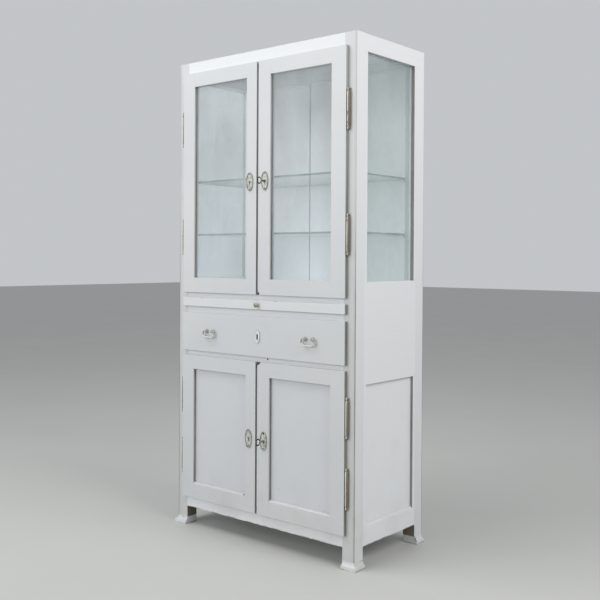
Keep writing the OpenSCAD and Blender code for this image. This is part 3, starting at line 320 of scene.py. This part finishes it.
def clear_glass(name, tint, edge_tint, cast, haze, dust_and_reflection_tint=DUST):
    """Plate glass: clear through its faces and green along its edges. Cast is the axis its faces look
    along, and haze how much a face with dust on it veils what lies behind with the tint given: the
    colour of the dust, which on the side pane is also a painted reflection."""
    finish = Finish(name)
    rim = finish.rise(abs(finish.facing["XYZ".index(cast)]), 0.9, 0.6)
    dust = finish.cloud(3, 5, 0.6)
    smear = finish.cloud((14, 14, 3), 3)
    film = finish.spread(finish.rise(dust + smear * 0.4, 0.45, 0.95), haze * 0.6, haze * 1.5)
    through = finish.node("ShaderNodeBsdfTransparent", {}, {"Color": tint})
    veil = finish.shader(dust_and_reflection_tint, 0.5)
    body = finish.node("ShaderNodeMixShader", {}, {0: film, 1: through, 2: veil})
    gloss = {"Color": shade(255, 255, 255), "Roughness": 0.05}
    mirror = finish.node("ShaderNodeBsdfAnisotropic", {}, gloss)
    slant = finish.node("ShaderNodeLayerWeight", {}, {"Blend": 0.5}, "Facing")
    glance = slant * slant * slant * slant
    pane = finish.node("ShaderNodeMixShader", {}, {0: glance * slant * 0.9 + 0.04, 1: body, 2: mirror})
    edge = finish.shader(finish.mix(smear, edge_tint, shade(70, 112, 100)), 0.18)
    return finish.done(finish.node("ShaderNodeMixShader", {}, {0: rim * 0.85, 1: pane, 2: edge}))


def worn_metal(name, bright, dull, deep, metal, rough, dirty_from=None):
    """Metal whose polish has gone dull, with darker dirt where hands don't rub it. Dirty_from is
    how far back along Y hands reach, on a piece that is dark behind that."""
    finish = Finish(name)
    patina = finish.cloud(90, 5, 0.65)
    spots = finish.rise(finish.cloud(360, 3), 0.6, 0.75)
    colour = finish.mix(finish.rise(patina, 0.38, 0.62), bright, dull)
    colour = finish.mix(spots * 0.6, colour, deep)
    if dirty_from is not None:
        colour = finish.mix(finish.rise(finish.y, dirty_from, dirty_from + 2 * MM) * 0.85, colour, deep)
    shine = finish.spread(patina, rough, rough + 0.3)
    normal = finish.relief(patina * 0.5 + spots * 0.5, 0.15 * MM)
    return finish.done(finish.shader(colour, shine, normal, finish.spread(patina, metal, metal * 0.7)))


def plate_metal(name, node):
    """An oval keyhole plate: pale worn metal inside a duller raised rim, with dirt between."""
    finish = Finish(name)
    low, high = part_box(node)
    middle = (low + high) / 2
    half = (high - low) / 2 - Vector((RIM_W, 0, RIM_W))
    across = (finish.x - middle.x) / half.x
    along = (finish.z - middle.z) / half.z
    out = across * across + along * along
    rim = finish.rise(out, 0.98, 1.06)
    groove = finish.rise(abs(out - 1.0), 0.16, 0.05)
    patina = finish.cloud(110, 5, 0.65)
    middle_tone = finish.mix(finish.rise(patina, 0.4, 0.62), shade(194, 195, 189), shade(158, 159, 150))
    rim_tone = finish.mix(finish.rise(patina, 0.4, 0.6), shade(172, 173, 164), shade(124, 123, 112))
    colour = finish.mix(rim, middle_tone, rim_tone)
    keyhole = finish.near((middle.x, low.y, middle.z), 6 * MM)
    dirt = finish.most(groove * finish.spread(patina, 0.5, 1.0), keyhole)
    colour = finish.mix(dirt * 0.75, colour, shade(74, 69, 58))
    normal = finish.relief(patina, 0.15 * MM)
    return finish.done(finish.shader(colour, finish.spread(patina, 0.3, 0.6), normal, 0.35))


def enamel_plate(name, node):
    """The drawer's small plate: white enamel, with dirt round its rim, and painted shade in and round its
    keyhole.
    """
    finish = Finish(name)
    low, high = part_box(node)
    middle = (low + high) / 2
    half = (high - low) / 2
    across = (finish.x - middle.x) / half.x
    along = (finish.z - middle.z) / half.z
    out = across * across + along * along
    tone = finish.mix(finish.cloud(60, 4), shade(216, 218, 219), shade(196, 198, 198))
    greying = finish.rise(out, 0.84, 1.0) * finish.spread(finish.cloud(90, 3), 0.3, 0.9)
    # The keyhole and a margin round it are painted near black: painted shade inside the hole.
    hole_middle = middle.z - 2 * MM
    hole_width = finish.rise(abs(finish.x - middle.x), 4.2 * MM, 3 * MM)
    hole = hole_width * finish.rise(abs(finish.z - hole_middle), 10 * MM, 8 * MM)
    colour = finish.mix(finish.most(greying * 0.7, hole), tone, shade(36, 33, 30))
    normal = finish.relief(finish.cloud(150, 3), 0.1 * MM)
    return finish.done(finish.shader(colour, finish.spread(greying, 0.22, 0.5), normal))


def painted_iron(name, worn, right_rust_and_shade=0.0, shaded_above=None):
    """White paint on iron fittings, gone from their edges, with rust showing through. On the faces that
    look to the right, right_rust_and_shade is how much is rust-brown: partly bare iron and partly
    painted shade for a hinge barrel's shaded side. Above shaded_above it is greyer, as painted shade
    on the upper ends of the handles."""
    finish = Finish(name)
    patch = finish.cloud(70, 5, 0.62)
    rust = finish.mix(finish.cloud(220, 3), shade(80, 71, 61), shade(130, 118, 102))
    cream = finish.mix(finish.cloud(30, 4), shade(206, 207, 202), shade(172, 173, 165))
    gone = finish.rise(patch, 0.68 - worn * 0.2, 0.74 - worn * 0.2)
    # Faces that look to the right go rust-brown: bare iron, and painted shade for the barrel's shaded side.
    if right_rust_and_shade:
        bare = finish.rise(finish.facing[0] + patch * 0.4, 0.34, 0.54)
        gone = finish.most(gone, bare * right_rust_and_shade)
    # Greyer above the given height: painted shade on the upper ends of the handles.
    if shaded_above is not None:
        dull = finish.rise(finish.z, shaded_above, shaded_above + 10 * MM)
        cream = finish.mix(dull * 0.6, cream, shade(128, 130, 121))
    colour = finish.mix(gone, cream, rust)
    normal = finish.relief((1 - gone) * 0.7 + patch * 0.3, 0.3 * MM)
    return finish.done(finish.shader(colour, finish.spread(gone, 0.36, 0.7), normal))


# ---------------------------------------------------------------- finishes of the wooden parts


def lower_edge(finish, foot):
    """1 along a worn bottom edge at the height of foot, which dirt has darkened in places."""
    line = finish.rise(finish.z, foot + 4 * MM, foot + 1.2 * MM)
    return line * finish.rise(finish.cloud(22, 4, 0.6), 0.4, 0.56) * 0.75


def post_paint(name, face, wear=0.6):
    """Paint on a pair of posts, which stops at the inner faces of the legs. Their outer corners
    are rubbed dark. Face is where their outward-looking front or back is."""
    finish = Finish(name)
    outward = finish.facing[0] * finish.maths("SIGN", finish.x)
    inner = finish.rise(outward, -0.3, -0.6)
    between = finish.rise(finish.facing[1] * finish.maths("SIGN", finish.y), -0.3, -0.6)
    leg = finish.rise(finish.z, RAIL_BOTTOM, RAIL_BOTTOM - 6 * MM)
    bare = leg * finish.most(inner, between)
    front = finish.rise(finish.facing[1], -0.6, -0.9)
    colour = finish.mix(front, WHITE, POST_WHITE)
    corner = OUTSIDE_X - abs(finish.x) + abs(finish.y - face)
    scuffs = finish.cloud((60, 60, 14), 4, 0.6, (2, 5, 1))
    line = finish.rise(corner + scuffs * 2.4 * MM, 4.4 * MM, 2.6 * MM)
    band = finish.rise(corner, 10 * MM, 7 * MM) * 0.12
    rubbed = finish.spread(finish.rise(finish.z, 1.3, 0.8), 0.35, 0.9)
    stain = finish.most(line * rubbed, band * front)
    return paint(finish, colour, brushed(finish, "Z"), wear, stain=stain, bare=bare, greying=0.2)


def front_paint(name, frame_node, inner=None, wear=0.35, chips=(), colour=FRONT_WHITE):
    """Paint on a door or drawer front. Inner is the node that its stiles and rails hold. The
    edges that look sideways are stained, but not the one by which a left-hand door meets its pair."""
    finish = Finish(name)
    inner_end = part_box(frame_node)[1].x
    sideways = finish.rise(abs(finish.facing[0]), 0.75, 0.9)
    outer_part = finish.rise(finish.y, DOOR_FACE + 14 * MM, DOOR_FACE + 12 * MM)
    worse_low = finish.rise(finish.z, CABINET_TOP, WAIST)
    stain = sideways * outer_part * finish.spread(worse_low, 0.62, 0.95)
    if inner is None:
        marks = brushed(finish, "X")
    else:
        held_low, held_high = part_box(inner)
        rail = (finish.x > held_low.x) * (finish.x < held_high.x)
        marks = brushed(finish, "Z", "X", rail)
        stain = stain * (1 - rail * finish.rise(finish.y, DOOR_FACE + 7 * MM, DOOR_FACE + 4 * MM) * 0.8)
    if inner_end < 0:
        stain = stain * (1 - finish.rise(finish.x, inner_end - 9 * MM, inner_end - 7 * MM) * 0.9)
    return paint(finish, colour, marks, wear, stain=stain, chips=chips, greying=0.22)


def side_paint(name):
    """Paint on the sides' frames, browned on the edges that face the front and the back."""
    finish = Finish(name)
    held_low, held_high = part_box("side_panels")
    rail = (finish.y > held_low.y + 8 * MM) * (finish.y < held_high.y - 8 * MM)
    marks = brushed(finish, "Z", "Y", rail)
    sideways = finish.rise(abs(finish.facing[1]), 0.75, 0.9)
    stain = finish.most(sideways * 0.8, lower_edge(finish, RAIL_BOTTOM))
    return paint(finish, WHITE, marks, 0.4, stain=stain)


def plain_paint(name, along, wear=0.3, chips=(), colour=WHITE, greying=0.04, foot=None):
    finish = Finish(name)
    stain = None if foot is None else lower_edge(finish, foot)
    return paint(finish, colour, brushed(finish, along), wear, stain, chips=chips, greying=greying)


# ---------------------------------------------------------------- shapes


def dress(node, material, ease=0.0, segments=2):
    """Gives a CAD node its finish, and eases its sharp edges by a radius."""
    part = NODES[node]
    part.data.materials.clear()
    part.data.materials.append(material)
    if ease:
        weld = part.modifiers.new("join", "WELD")
        weld.merge_threshold = 0.01 * MM
        flat = part.modifiers.new("flats", "DECIMATE")
        flat.decimate_type = "DISSOLVE"
        flat.angle_limit = math.radians(1)
        bevel = part.modifiers.new("ease", "BEVEL")
        bevel.width = ease
        bevel.segments = segments
        bevel.limit_method = "ANGLE"
        bevel.angle_limit = math.radians(50)
        bevel.use_clamp_overlap = True


# ---------------------------------------------------------------- the carcass

dress("front_posts", post_paint("post_paint", POST_FACE), 1.6 * MM)
dress("rear_posts", post_paint("rear_post_paint", BACK, 0.5), 1.6 * MM)
dress("feet", plain_paint("foot_paint", "X", 0.5, greying=0.2, foot=0.0), 0.8 * MM)
dress("top_board", plain_paint("top_paint", "X"), 1 * MM)
rail_chip = Vector((38 * MM, POST_FACE, CUPBOARD_TOP + 12 * MM))
rail_finish = plain_paint("rail_paint", "X", chips=[(rail_chip, 6 * MM)], greying=0.12,
                          foot=RAIL_BOTTOM)
dress("front_rails", rail_finish, 1 * MM)
dress("back_rails", plain_paint("back_rail_paint", "X"), 1 * MM)
dress("side_frames", side_paint("side_paint"), 1.2 * MM)
dress("side_panels", plain_paint("side_panel_paint", "Z"))
inside_upright = inside_paint("inside_paint_upright", "Z")
inside_across = inside_paint("inside_paint_across", "X")
inside_deep = inside_paint("inside_paint_deep", "Y")
dress("back_boards", board_paint("inside_board_paint"), 2.4 * MM)
dress("side_beads", inside_upright)
for board in ("display_floor", "cupboard_floor", "cupboard_shelf"):
    dress(board, inside_across, 1 * MM)
dress("shelf_cleats", inside_deep, 1 * MM)
dress("bearers", bare_wood("bearer_wood", "Y"), 0.8 * MM)

# ---------------------------------------------------------------- doors, drawer, pull-out shelf

meeting_chips = [
    (Vector((2 * MM, DOOR_FACE, DOOR_FOOT + 3 * MM)), 12 * MM),
    (Vector((2 * MM, DOOR_FACE, CUPBOARD_TOP - 3 * MM)), 14 * MM),
    (Vector((9 * MM, DOOR_FACE, CUPBOARD_TOP - 1 * MM)), 10 * MM),
]
bead_paint = plain_paint("bead_paint", "Z", colour=FRONT_WHITE)
for door in UPPER_DOORS:
    finish = front_paint(f"{door}_paint", f"{door}_frame", f"{door}_glass", chips=meeting_chips)
    dress(f"{door}_frame", finish, 1.2 * MM)
    dress(f"{door}_beads", bead_paint, 0.8 * MM)
for door in LOWER_DOORS:
    finish = front_paint(f"{door}_paint", f"{door}_frame", f"{door}_panel", chips=meeting_chips)
    dress(f"{door}_frame", finish, 1.2 * MM)
    dress(f"{door}_panel", plain_paint(f"{door}_panel_paint", "Z", colour=PANEL_WHITE, greying=0.16))
dress("drawer_front", front_paint("drawer_front_paint", "drawer_front"), 1.4 * MM)
dress("slide_front", front_paint("slide_front_paint", "slide_front", colour=SLIDE_WHITE), 1.2 * MM)
dress("drawer_box", bare_wood("drawer_wood", "Y", "X"), 0.8 * MM)
dress("drawer_bottom", bare_wood("drawer_bottom_wood", "X"), 0.5 * MM)
dress("slide_board", bare_wood("slide_board_wood", "X"), 0.8 * MM)

# ---------------------------------------------------------------- glass

PANE_EDGE = shade(120, 150, 138)
# The side pane's green-grey veil is dust, and painted reflection in the glass.
side_pane = clear_glass("side_pane_glass", shade(251, 254, 254), PANE_EDGE, "X", 0.2, DUST_AND_GREEN_REFLECTION)
dress("side_glass", side_pane)
door_pane = clear_glass("door_pane_glass", shade(254, 254, 255), PANE_EDGE, "Y", 0.16)
for door in UPPER_DOORS:
    dress(f"{door}_glass", door_pane)
shelf_plate = clear_glass("shelf_plate_glass", shade(252, 254, 254), shade(72, 108, 98), "Z", 0.015)
dress("glass_shelves", shelf_plate, 0.8 * MM)

# ---------------------------------------------------------------- metal fittings

iron = worn_metal("dark_iron", shade(92, 88, 84), shade(58, 54, 50), shade(40, 34, 30), 0.9, 0.38)
stem_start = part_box("upper_key")[0].y + 20 * MM
key_iron = worn_metal("key_iron", shade(186, 188, 178), shade(146, 146, 136), shade(64, 59, 53), 0.3, 0.36,
                      stem_start)
nail_iron = worn_metal("nail_iron", shade(54, 48, 44), shade(40, 36, 32), shade(30, 26, 24), 0.3, 0.5)
brass = worn_metal("aged_brass", shade(164, 162, 138), shade(122, 120, 98), shade(70, 66, 50), 0.6, 0.34)
nickel = worn_metal("worn_nickel", shade(226, 226, 220), shade(192, 190, 182), shade(84, 78, 70), 0.3, 0.26,
                    stem_start)
handle_paint = painted_iron("handle_paint", 0.15, shaded_above=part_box("left_handle")[0].z + 8 * MM)
hinge_paint = painted_iron("hinge_paint", 0.35, 1.0)
for node in ("upper_latch_plate", "upper_latch", "lower_latch_plate", "lower_latch",
             "upper_lock_case", "upper_lock_bolt", "lower_lock_case", "lower_lock_bolt",
             "drawer_lock_case", "drawer_lock_bolt"):
    dress(node, iron, 0.3 * MM)
dress("hinge_pins", iron)
dress("shelf_pegs", brass)
for node in ("upper_left_plate", "upper_right_plate", "lower_left_plate", "lower_right_plate"):
    dress(node, plate_metal(f"{node}_metal", node))
dress("drawer_plate", enamel_plate("drawer_plate_enamel", "drawer_plate"))
dress("handle_posts", handle_paint)


def turned(outline, steps=28):
    """A shape turned on a lathe about Z. Its outline is (radius, height) points that start and
    end on the axis."""
    bm = bmesh.new()
    line = [bm.verts.new((radius * MM, 0, height * MM)) for radius, height in outline]
    edges = [bm.edges.new(pair) for pair in zip(line, line[1:])]
    bmesh.ops.spin(bm, geom=line + edges, cent=(0, 0, 0), axis=(0, 0, 1), angle=math.tau,
                   steps=steps, use_merge=True)
    bmesh.ops.remove_doubles(bm, verts=bm.verts, dist=0.002 * MM)
    bmesh.ops.recalc_face_normals(bm, faces=bm.faces)
    return bm


def bar(low, high, ease):
    """A straight bar between two corners, with eased edges."""
    low, high = Vector(low), Vector(high)
    bm = bmesh.new()
    place = Matrix.Translation((low + high) / 2) @ Matrix.Diagonal((*(high - low), 1))
    bmesh.ops.create_cube(bm, size=1, matrix=place)
    bmesh.ops.bevel(bm, geom=bm.edges[:], offset=ease, offset_type="OFFSET", affect="EDGES",
                    segments=2, profile=0.5, material=-1)
    return bm


def join(parts):
    """One mesh of several shapes, each given with the matrix that puts it in place."""
    whole = bmesh.new()
    for bm, place in parts:
        bmesh.ops.transform(bm, matrix=place, verts=bm.verts)
        loose = bpy.data.meshes.new("loose")
        bm.to_mesh(loose)
        bm.free()
        whole.from_mesh(loose)
        bpy.data.meshes.remove(loose)
    return whole


def piece(name, parts, material, body, slot, *nodes):
    """Makes an object of some shapes. It rides on a body and stands for the CAD nodes given."""
    bm = join(parts)
    bmesh.ops.recalc_face_normals(bm, faces=bm.faces)
    mesh = bpy.data.meshes.new(name)
    bm.to_mesh(mesh)
    bm.free()
    mesh.materials.append(material)
    mesh.shade_smooth()
    mesh.set_sharp_from_angle(angle=math.radians(35))
    made = bpy.data.objects.new(name, mesh)
    bpy.context.scene.collection.objects.link(made)
    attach(made, body)
    if nodes:
        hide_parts(*nodes)


TO_FRONT = Matrix.Rotation(math.radians(90), 4, "X")
TO_BACK = Matrix.Rotation(math.radians(-90), 4, "X")
UPSIDE_DOWN = Matrix.Rotation(math.pi, 4, "X")

# The hinges lift off. Each half is a barrel with a ball on its end, and a leaf let into the wood.
BARREL = ((0, 42.5), (3.1, 42.5), (3.1, 0.8), (3.5, 0.25), (5.2, 0.25), (5.7, 0.75), (5.7, 55.2),
          (5.2, 56), (3.7, 56.6), (3.4, 58), (3.9, 59.4), (4.7, 61.2), (5, 63.6), (4.8, 65.6),
          (3.9, 67.4), (2.4, 68.6), (0, 69))
BARREL_H = BARREL[-1][1] * MM
HALF_GAP = 0.2 * MM
LEAF_HALF = 1 * MM
LEAF_ENDS = (4 * MM, 52 * MM)
LEAF_ROOT = 4 * MM
DOOR_LEAF = 24 * MM
POST_LEAF = 24.5 * MM
THIN_EASE = 0.25 * MM


def hinge_half(joint, height, upper):
    """The barrel and leaf of one half of a hinge, in place on its joint's axis. Height is where
    the two halves meet. The upper half goes with the door, and the lower half with the post."""
    axis = axis_place(joint)
    side = math.copysign(1, axis.x)
    place = Matrix.Translation((axis.x, axis.y, height))
    if upper:
        left, right = sorted((-side * LEAF_ROOT, -side * DOOR_LEAF))
        leaf = bar((left, -LEAF_HALF, LEAF_ENDS[0]), (right, LEAF_HALF, LEAF_ENDS[1]), THIN_EASE)
        return [(turned(BARREL), place), (leaf, place)]
    leaf = bar((-LEAF_HALF, LEAF_ROOT, -LEAF_ENDS[1]), (LEAF_HALF, POST_LEAF, -LEAF_ENDS[0]), THIN_EASE)
    return [(turned(BARREL), place @ UPSIDE_DOWN), (leaf, place)]


post_halves = []
for door in UPPER_DOORS + LOWER_DOORS:
    node = f"{door}_hinges"
    low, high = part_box(node)
    heights = (low.z - HALF_GAP, high.z - BARREL_H)
    halves = [half for z in heights for half in hinge_half(f"{door}_swing", z, True)]
    piece(f"{door}_hinge_halves", halves, hinge_paint, door, "painted_iron", node)
    post_halves += [half for z in heights for half in hinge_half(f"{door}_swing", z, False)]
piece("post_hinge_halves", post_halves, hinge_paint, "carcass", "painted_iron", "hinge_post_leaves")

# Keys. Each has a flattened ring to turn it by, a stem with a collar, and a bit that moves the bolt.
STEM = ((0, -0.4), (1.6, 0), (2.3, 1), (2.4, 4.6), (3.4, 5.2), (3.6, 6), (3.4, 6.8), (2.5, 7.4),
        (2.5, 11.5), (3.6, 12), (4.2, 12.8), (4.2, 15), (3.6, 15.8), (2.6, 16.4), (2.6, 37.6),
        (2, 38.4), (0, 38.5))
STEM_L = STEM[-1][1] * MM
RING_R = 9.2 * MM
RING_WIRE_R = 1.8 * MM
RING_STRETCH = 13 / 11
BIT_HALF = 1.2 * MM
BIT_TOP = 1 * MM
BIT_REACH = 8.6 * MM
BIT_START = 5.5 * MM
BIT_END = 0.5 * MM


def key(name, material, slot):
    """A key in its lock: a ring, a turned stem and a square bit."""
    node = f"{name}_key"
    low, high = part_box(node)
    axis = axis_place(f"{name}_key_turn")
    ring = bmesh.new()
    spot = Matrix.Translation((0, RING_R, 0)) @ Matrix.Rotation(math.radians(90), 4, "Z") @ TO_FRONT
    circle = bmesh.ops.create_circle(ring, segments=12, radius=RING_WIRE_R, matrix=spot)["verts"]
    edges = ring.edges[:]
    bmesh.ops.spin(ring, geom=circle + edges, cent=(0, 0, 0), axis=(1, 0, 0), angle=math.tau,
                   steps=36, use_merge=True)
    bmesh.ops.remove_doubles(ring, verts=ring.verts, dist=0.002 * MM)
    bmesh.ops.scale(ring, vec=(1, 1, RING_STRETCH), verts=ring.verts)
    ring_place = Matrix.Translation((axis.x, low.y + RING_R + RING_WIRE_R, axis.z))
    stem_place = Matrix.Translation((axis.x, high.y - STEM_L, axis.z)) @ TO_BACK
    bit = bar((axis.x - BIT_HALF, high.y - BIT_START, axis.z - BIT_REACH),
              (axis.x + BIT_HALF, high.y - BIT_END, axis.z - BIT_TOP), THIN_EASE)
    parts = [(ring, ring_place), (turned(STEM), stem_place), (bit, Matrix())]
    piece(f"{name}_key_forged", parts, material, f"{name}_key", slot, node)


key("upper", key_iron, "dark_iron")
key("lower", nickel, "nickel")


# Drop handles. Their rod starts in its posts, bends down and swells towards its middle. Radii in mm.
PIN_ENDS = (11.6, 20.4)
SHOULDER = 20.8
PIN_R = 2.0
ROD_R = 2.7
THICK_R = 3.2
SWELL = 0.05
UPPER_BEND = 6.5 * MM
LOWER_BEND = 15 * MM
MIDDLE_X = 5 * MM


def bail(name):
    """A drop handle: circles set along a path from one post to the other, bridged to a rod."""
    low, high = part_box(name)
    axis = axis_place(f"{name}_lift")
    reach = (high.x - low.x) / 2 - THICK_R * MM
    drop = axis.z - low.z - THICK_R * MM
    half = [(Vector((x * MM, 0, 0)), PIN_R) for x in PIN_ENDS]
    half.append((Vector((SHOULDER * MM, 0, 0)), ROD_R))
    for step in range(7):
        turn = math.radians(15 * step)
        x = reach - UPPER_BEND + UPPER_BEND * math.sin(turn)
        half.append((Vector((x, 0, UPPER_BEND * math.cos(turn) - UPPER_BEND)), ROD_R))
    for step in range(1, 10):
        turn = math.radians(10 * step)
        x = reach - LOWER_BEND + LOWER_BEND * math.cos(turn)
        z = LOWER_BEND - drop - LOWER_BEND * math.sin(turn)
        half.append((Vector((x, 0, z)), ROD_R + SWELL * step))
    half.append((Vector((MIDDLE_X, 0, -drop)), THICK_R))
    path = [(Vector((-place.x, 0, place.z)), radius) for place, radius in half] + half[::-1]
    bm = bmesh.new()
    rings = []
    for index, (place, radius) in enumerate(path):
        ahead = (path[min(index + 1, len(path) - 1)][0] - path[max(index - 1, 0)][0]).normalized()
        across = Vector((0, 1, 0))
        turn = Matrix((across, ahead.cross(across), ahead)).transposed().to_4x4()
        known = set(bm.edges)
        bmesh.ops.create_circle(bm, cap_ends=index in (0, len(path) - 1), segments=20, radius=radius * MM,
                                matrix=Matrix.Translation(place) @ turn)
        rings.append([edge for edge in bm.edges if edge not in known])
    for first, second in zip(rings, rings[1:]):
        bmesh.ops.bridge_loops(bm, edges=first + second)
    piece(f"{name}_bail", [(bm, Matrix.Translation(axis))], handle_paint, name, "painted_iron", name)


bail("left_handle")
bail("right_handle")

# The knob of the pull-out shelf
knob_low, knob_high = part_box("slide_knob")
KNOB = ((0, -1), (4.4, -1), (4.4, 0.6), (3.6, 1.6), (3.4, 4.4), (4.6, 6), (7.2, 7.4), (8.7, 9), (9, 10.4),
        (8.6, 12), (7, 13.2), (4.2, 13.8), (0, 14))
knob_place = Vector(((knob_low.x + knob_high.x) / 2, knob_high.y, (knob_low.z + knob_high.z) / 2))
piece("slide_knob_turned", [(turned(KNOB), Matrix.Translation(knob_place) @ TO_FRONT)], brass,
      "pull_out_shelf", "aged_brass", "slide_knob")


# A domed head: shares of its radius, and heights in mm
HEAD = ((0, -0.6), (0.9, -0.6), (1, 0.1), (0.8, 0.7), (0.4, 1), (0, 1.1))
RIM_PROUD = 1.4 * MM
NAIL_INSET = 7.5 * MM
SCREW_INSET = 5 * MM
SCREW_R = 2.2
LATCH_PLATE_T = 1.6 * MM


def heads(name, body, slot, material, places, turn):
    """The domed heads of nails or screws. Each place is a point and the head's radius in mm."""
    parts = []
    for point, radius in places:
        dome = [(share * radius, height) for share, height in HEAD]
        parts.append((turned(dome, 16), Matrix.Translation(point) @ turn))
    piece(name, parts, material, body, slot)


for door, top, foot in (("upper_left", 1.7, 1.7), ("upper_right", 1.8, 2.4), ("lower_left", 1.7, 1.7),
                        ("lower_right", 3.6, 2.2)):
    low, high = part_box(f"{door}_plate")
    face = low.y + RIM_PROUD
    middle = (low.x + high.x) / 2
    ends = ((high.z - NAIL_INSET, top), (low.z + NAIL_INSET, foot))
    places = [(Vector((middle, face, z)), radius) for z, radius in ends]
    heads(f"{door}_plate_nails", f"{door}_door", "dark_iron", nail_iron, places, TO_FRONT)

for door, name in (("upper_right_door", "upper_lock_case"), ("lower_right_door", "lower_lock_case"),
                   ("drawer", "drawer_lock_case"), ("upper_left_door", "upper_latch_plate"),
                   ("lower_left_door", "lower_latch_plate")):
    low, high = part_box(name)
    face = low.y + LATCH_PLATE_T if "latch" in name else high.y
    places = [(Vector((x, face, z)), SCREW_R) for x in (low.x + SCREW_INSET, high.x - SCREW_INSET)
              for z in (low.z + SCREW_INSET, high.z - SCREW_INSET)]
    heads(f"{name}_screws", door, "dark_iron", iron, places, TO_BACK)

# ---------------------------------------------------------------- floor, light and camera


def floor():
    bm = bmesh.new()
    bmesh.ops.create_grid(bm, x_segments=1, y_segments=1, size=25)
    mesh = bpy.data.meshes.new("studio_floor")
    bm.to_mesh(mesh)
    bm.free()
    ground = bpy.data.objects.new("studio_floor", mesh)
    bpy.context.scene.collection.objects.link(ground)
    finish = Finish("floor_grey")
    grey = finish.mix(finish.cloud(1.2, 5), shade(172, 173, 169), shade(180, 180, 177))
    mesh.materials.append(finish.done(finish.shader(grey, finish.spread(finish.cloud(3, 4), 0.5, 0.62))))


def soft_light(name, place, target, size, power, colour):
    """A large square lamp at a place, turned towards a target."""
    lamp = bpy.data.lights.new(name, "AREA")
    lamp.shape = "SQUARE"
    lamp.size = size
    lamp.energy = power
    lamp.color = colour
    holder = bpy.data.objects.new(name, lamp)
    holder.location = place
    holder.rotation_mode = "QUATERNION"
    holder.rotation_quaternion = (Vector(target) - Vector(place)).to_track_quat("-Z", "Y")
    bpy.context.scene.collection.objects.link(holder)


def sky(colour, strength):
    """Even light from all round the room."""
    world = bpy.data.worlds.new("room")
    world.use_nodes = True
    background = world.node_tree.nodes["Background"]
    background.inputs["Color"].default_value = colour
    background.inputs["Strength"].default_value = strength
    bpy.context.scene.world = world


def camera():
    """A camera a metre up, to the right of the cabinet's front, that looks nearly level."""
    yaw = math.radians(39.91)
    pitch = math.radians(-0.394)
    roll = math.radians(0.306)
    ahead = Vector((-math.sin(yaw) * math.cos(pitch), math.cos(yaw) * math.cos(pitch), math.sin(pitch)))
    level = Vector((math.cos(yaw), math.sin(yaw), 0))
    upright = level.cross(ahead)
    right = math.cos(roll) * level + math.sin(roll) * upright
    up = math.cos(roll) * upright - math.sin(roll) * level
    lens = bpy.data.cameras.new("camera")
    lens.sensor_width = 36
    lens.lens = 52.608
    lens.shift_y = -0.0595
    viewer = bpy.data.objects.new("camera", lens)
    viewer.matrix_world = Matrix((right, up, -ahead)).transposed().to_4x4()
    viewer.location = (2.108, POST_FACE - 2.3, 1.019)
    bpy.context.scene.collection.objects.link(viewer)
    bpy.context.scene.camera = viewer


floor()
sky(shade(234, 237, 241), strength=0.66)
soft_light("front_light", (-1.2, -4.4, 2.1), (0.0, -0.2, 1.1), size=2.6, power=96,
           colour=(0.99, 0.995, 1.0))
soft_light("high_light", (-1.6, -1.6, 4.0), (0.0, 0.0, 1.4), size=2.0, power=66,
           colour=(1.0, 1.0, 1.0))
soft_light("side_light", (3.4, -0.3, 3.2), (0.3, 0.0, 1.2), size=2.2, power=100,
           colour=(1.0, 0.99, 0.98))
camera()
bpy.context.scene.view_settings.view_transform = "Standard"
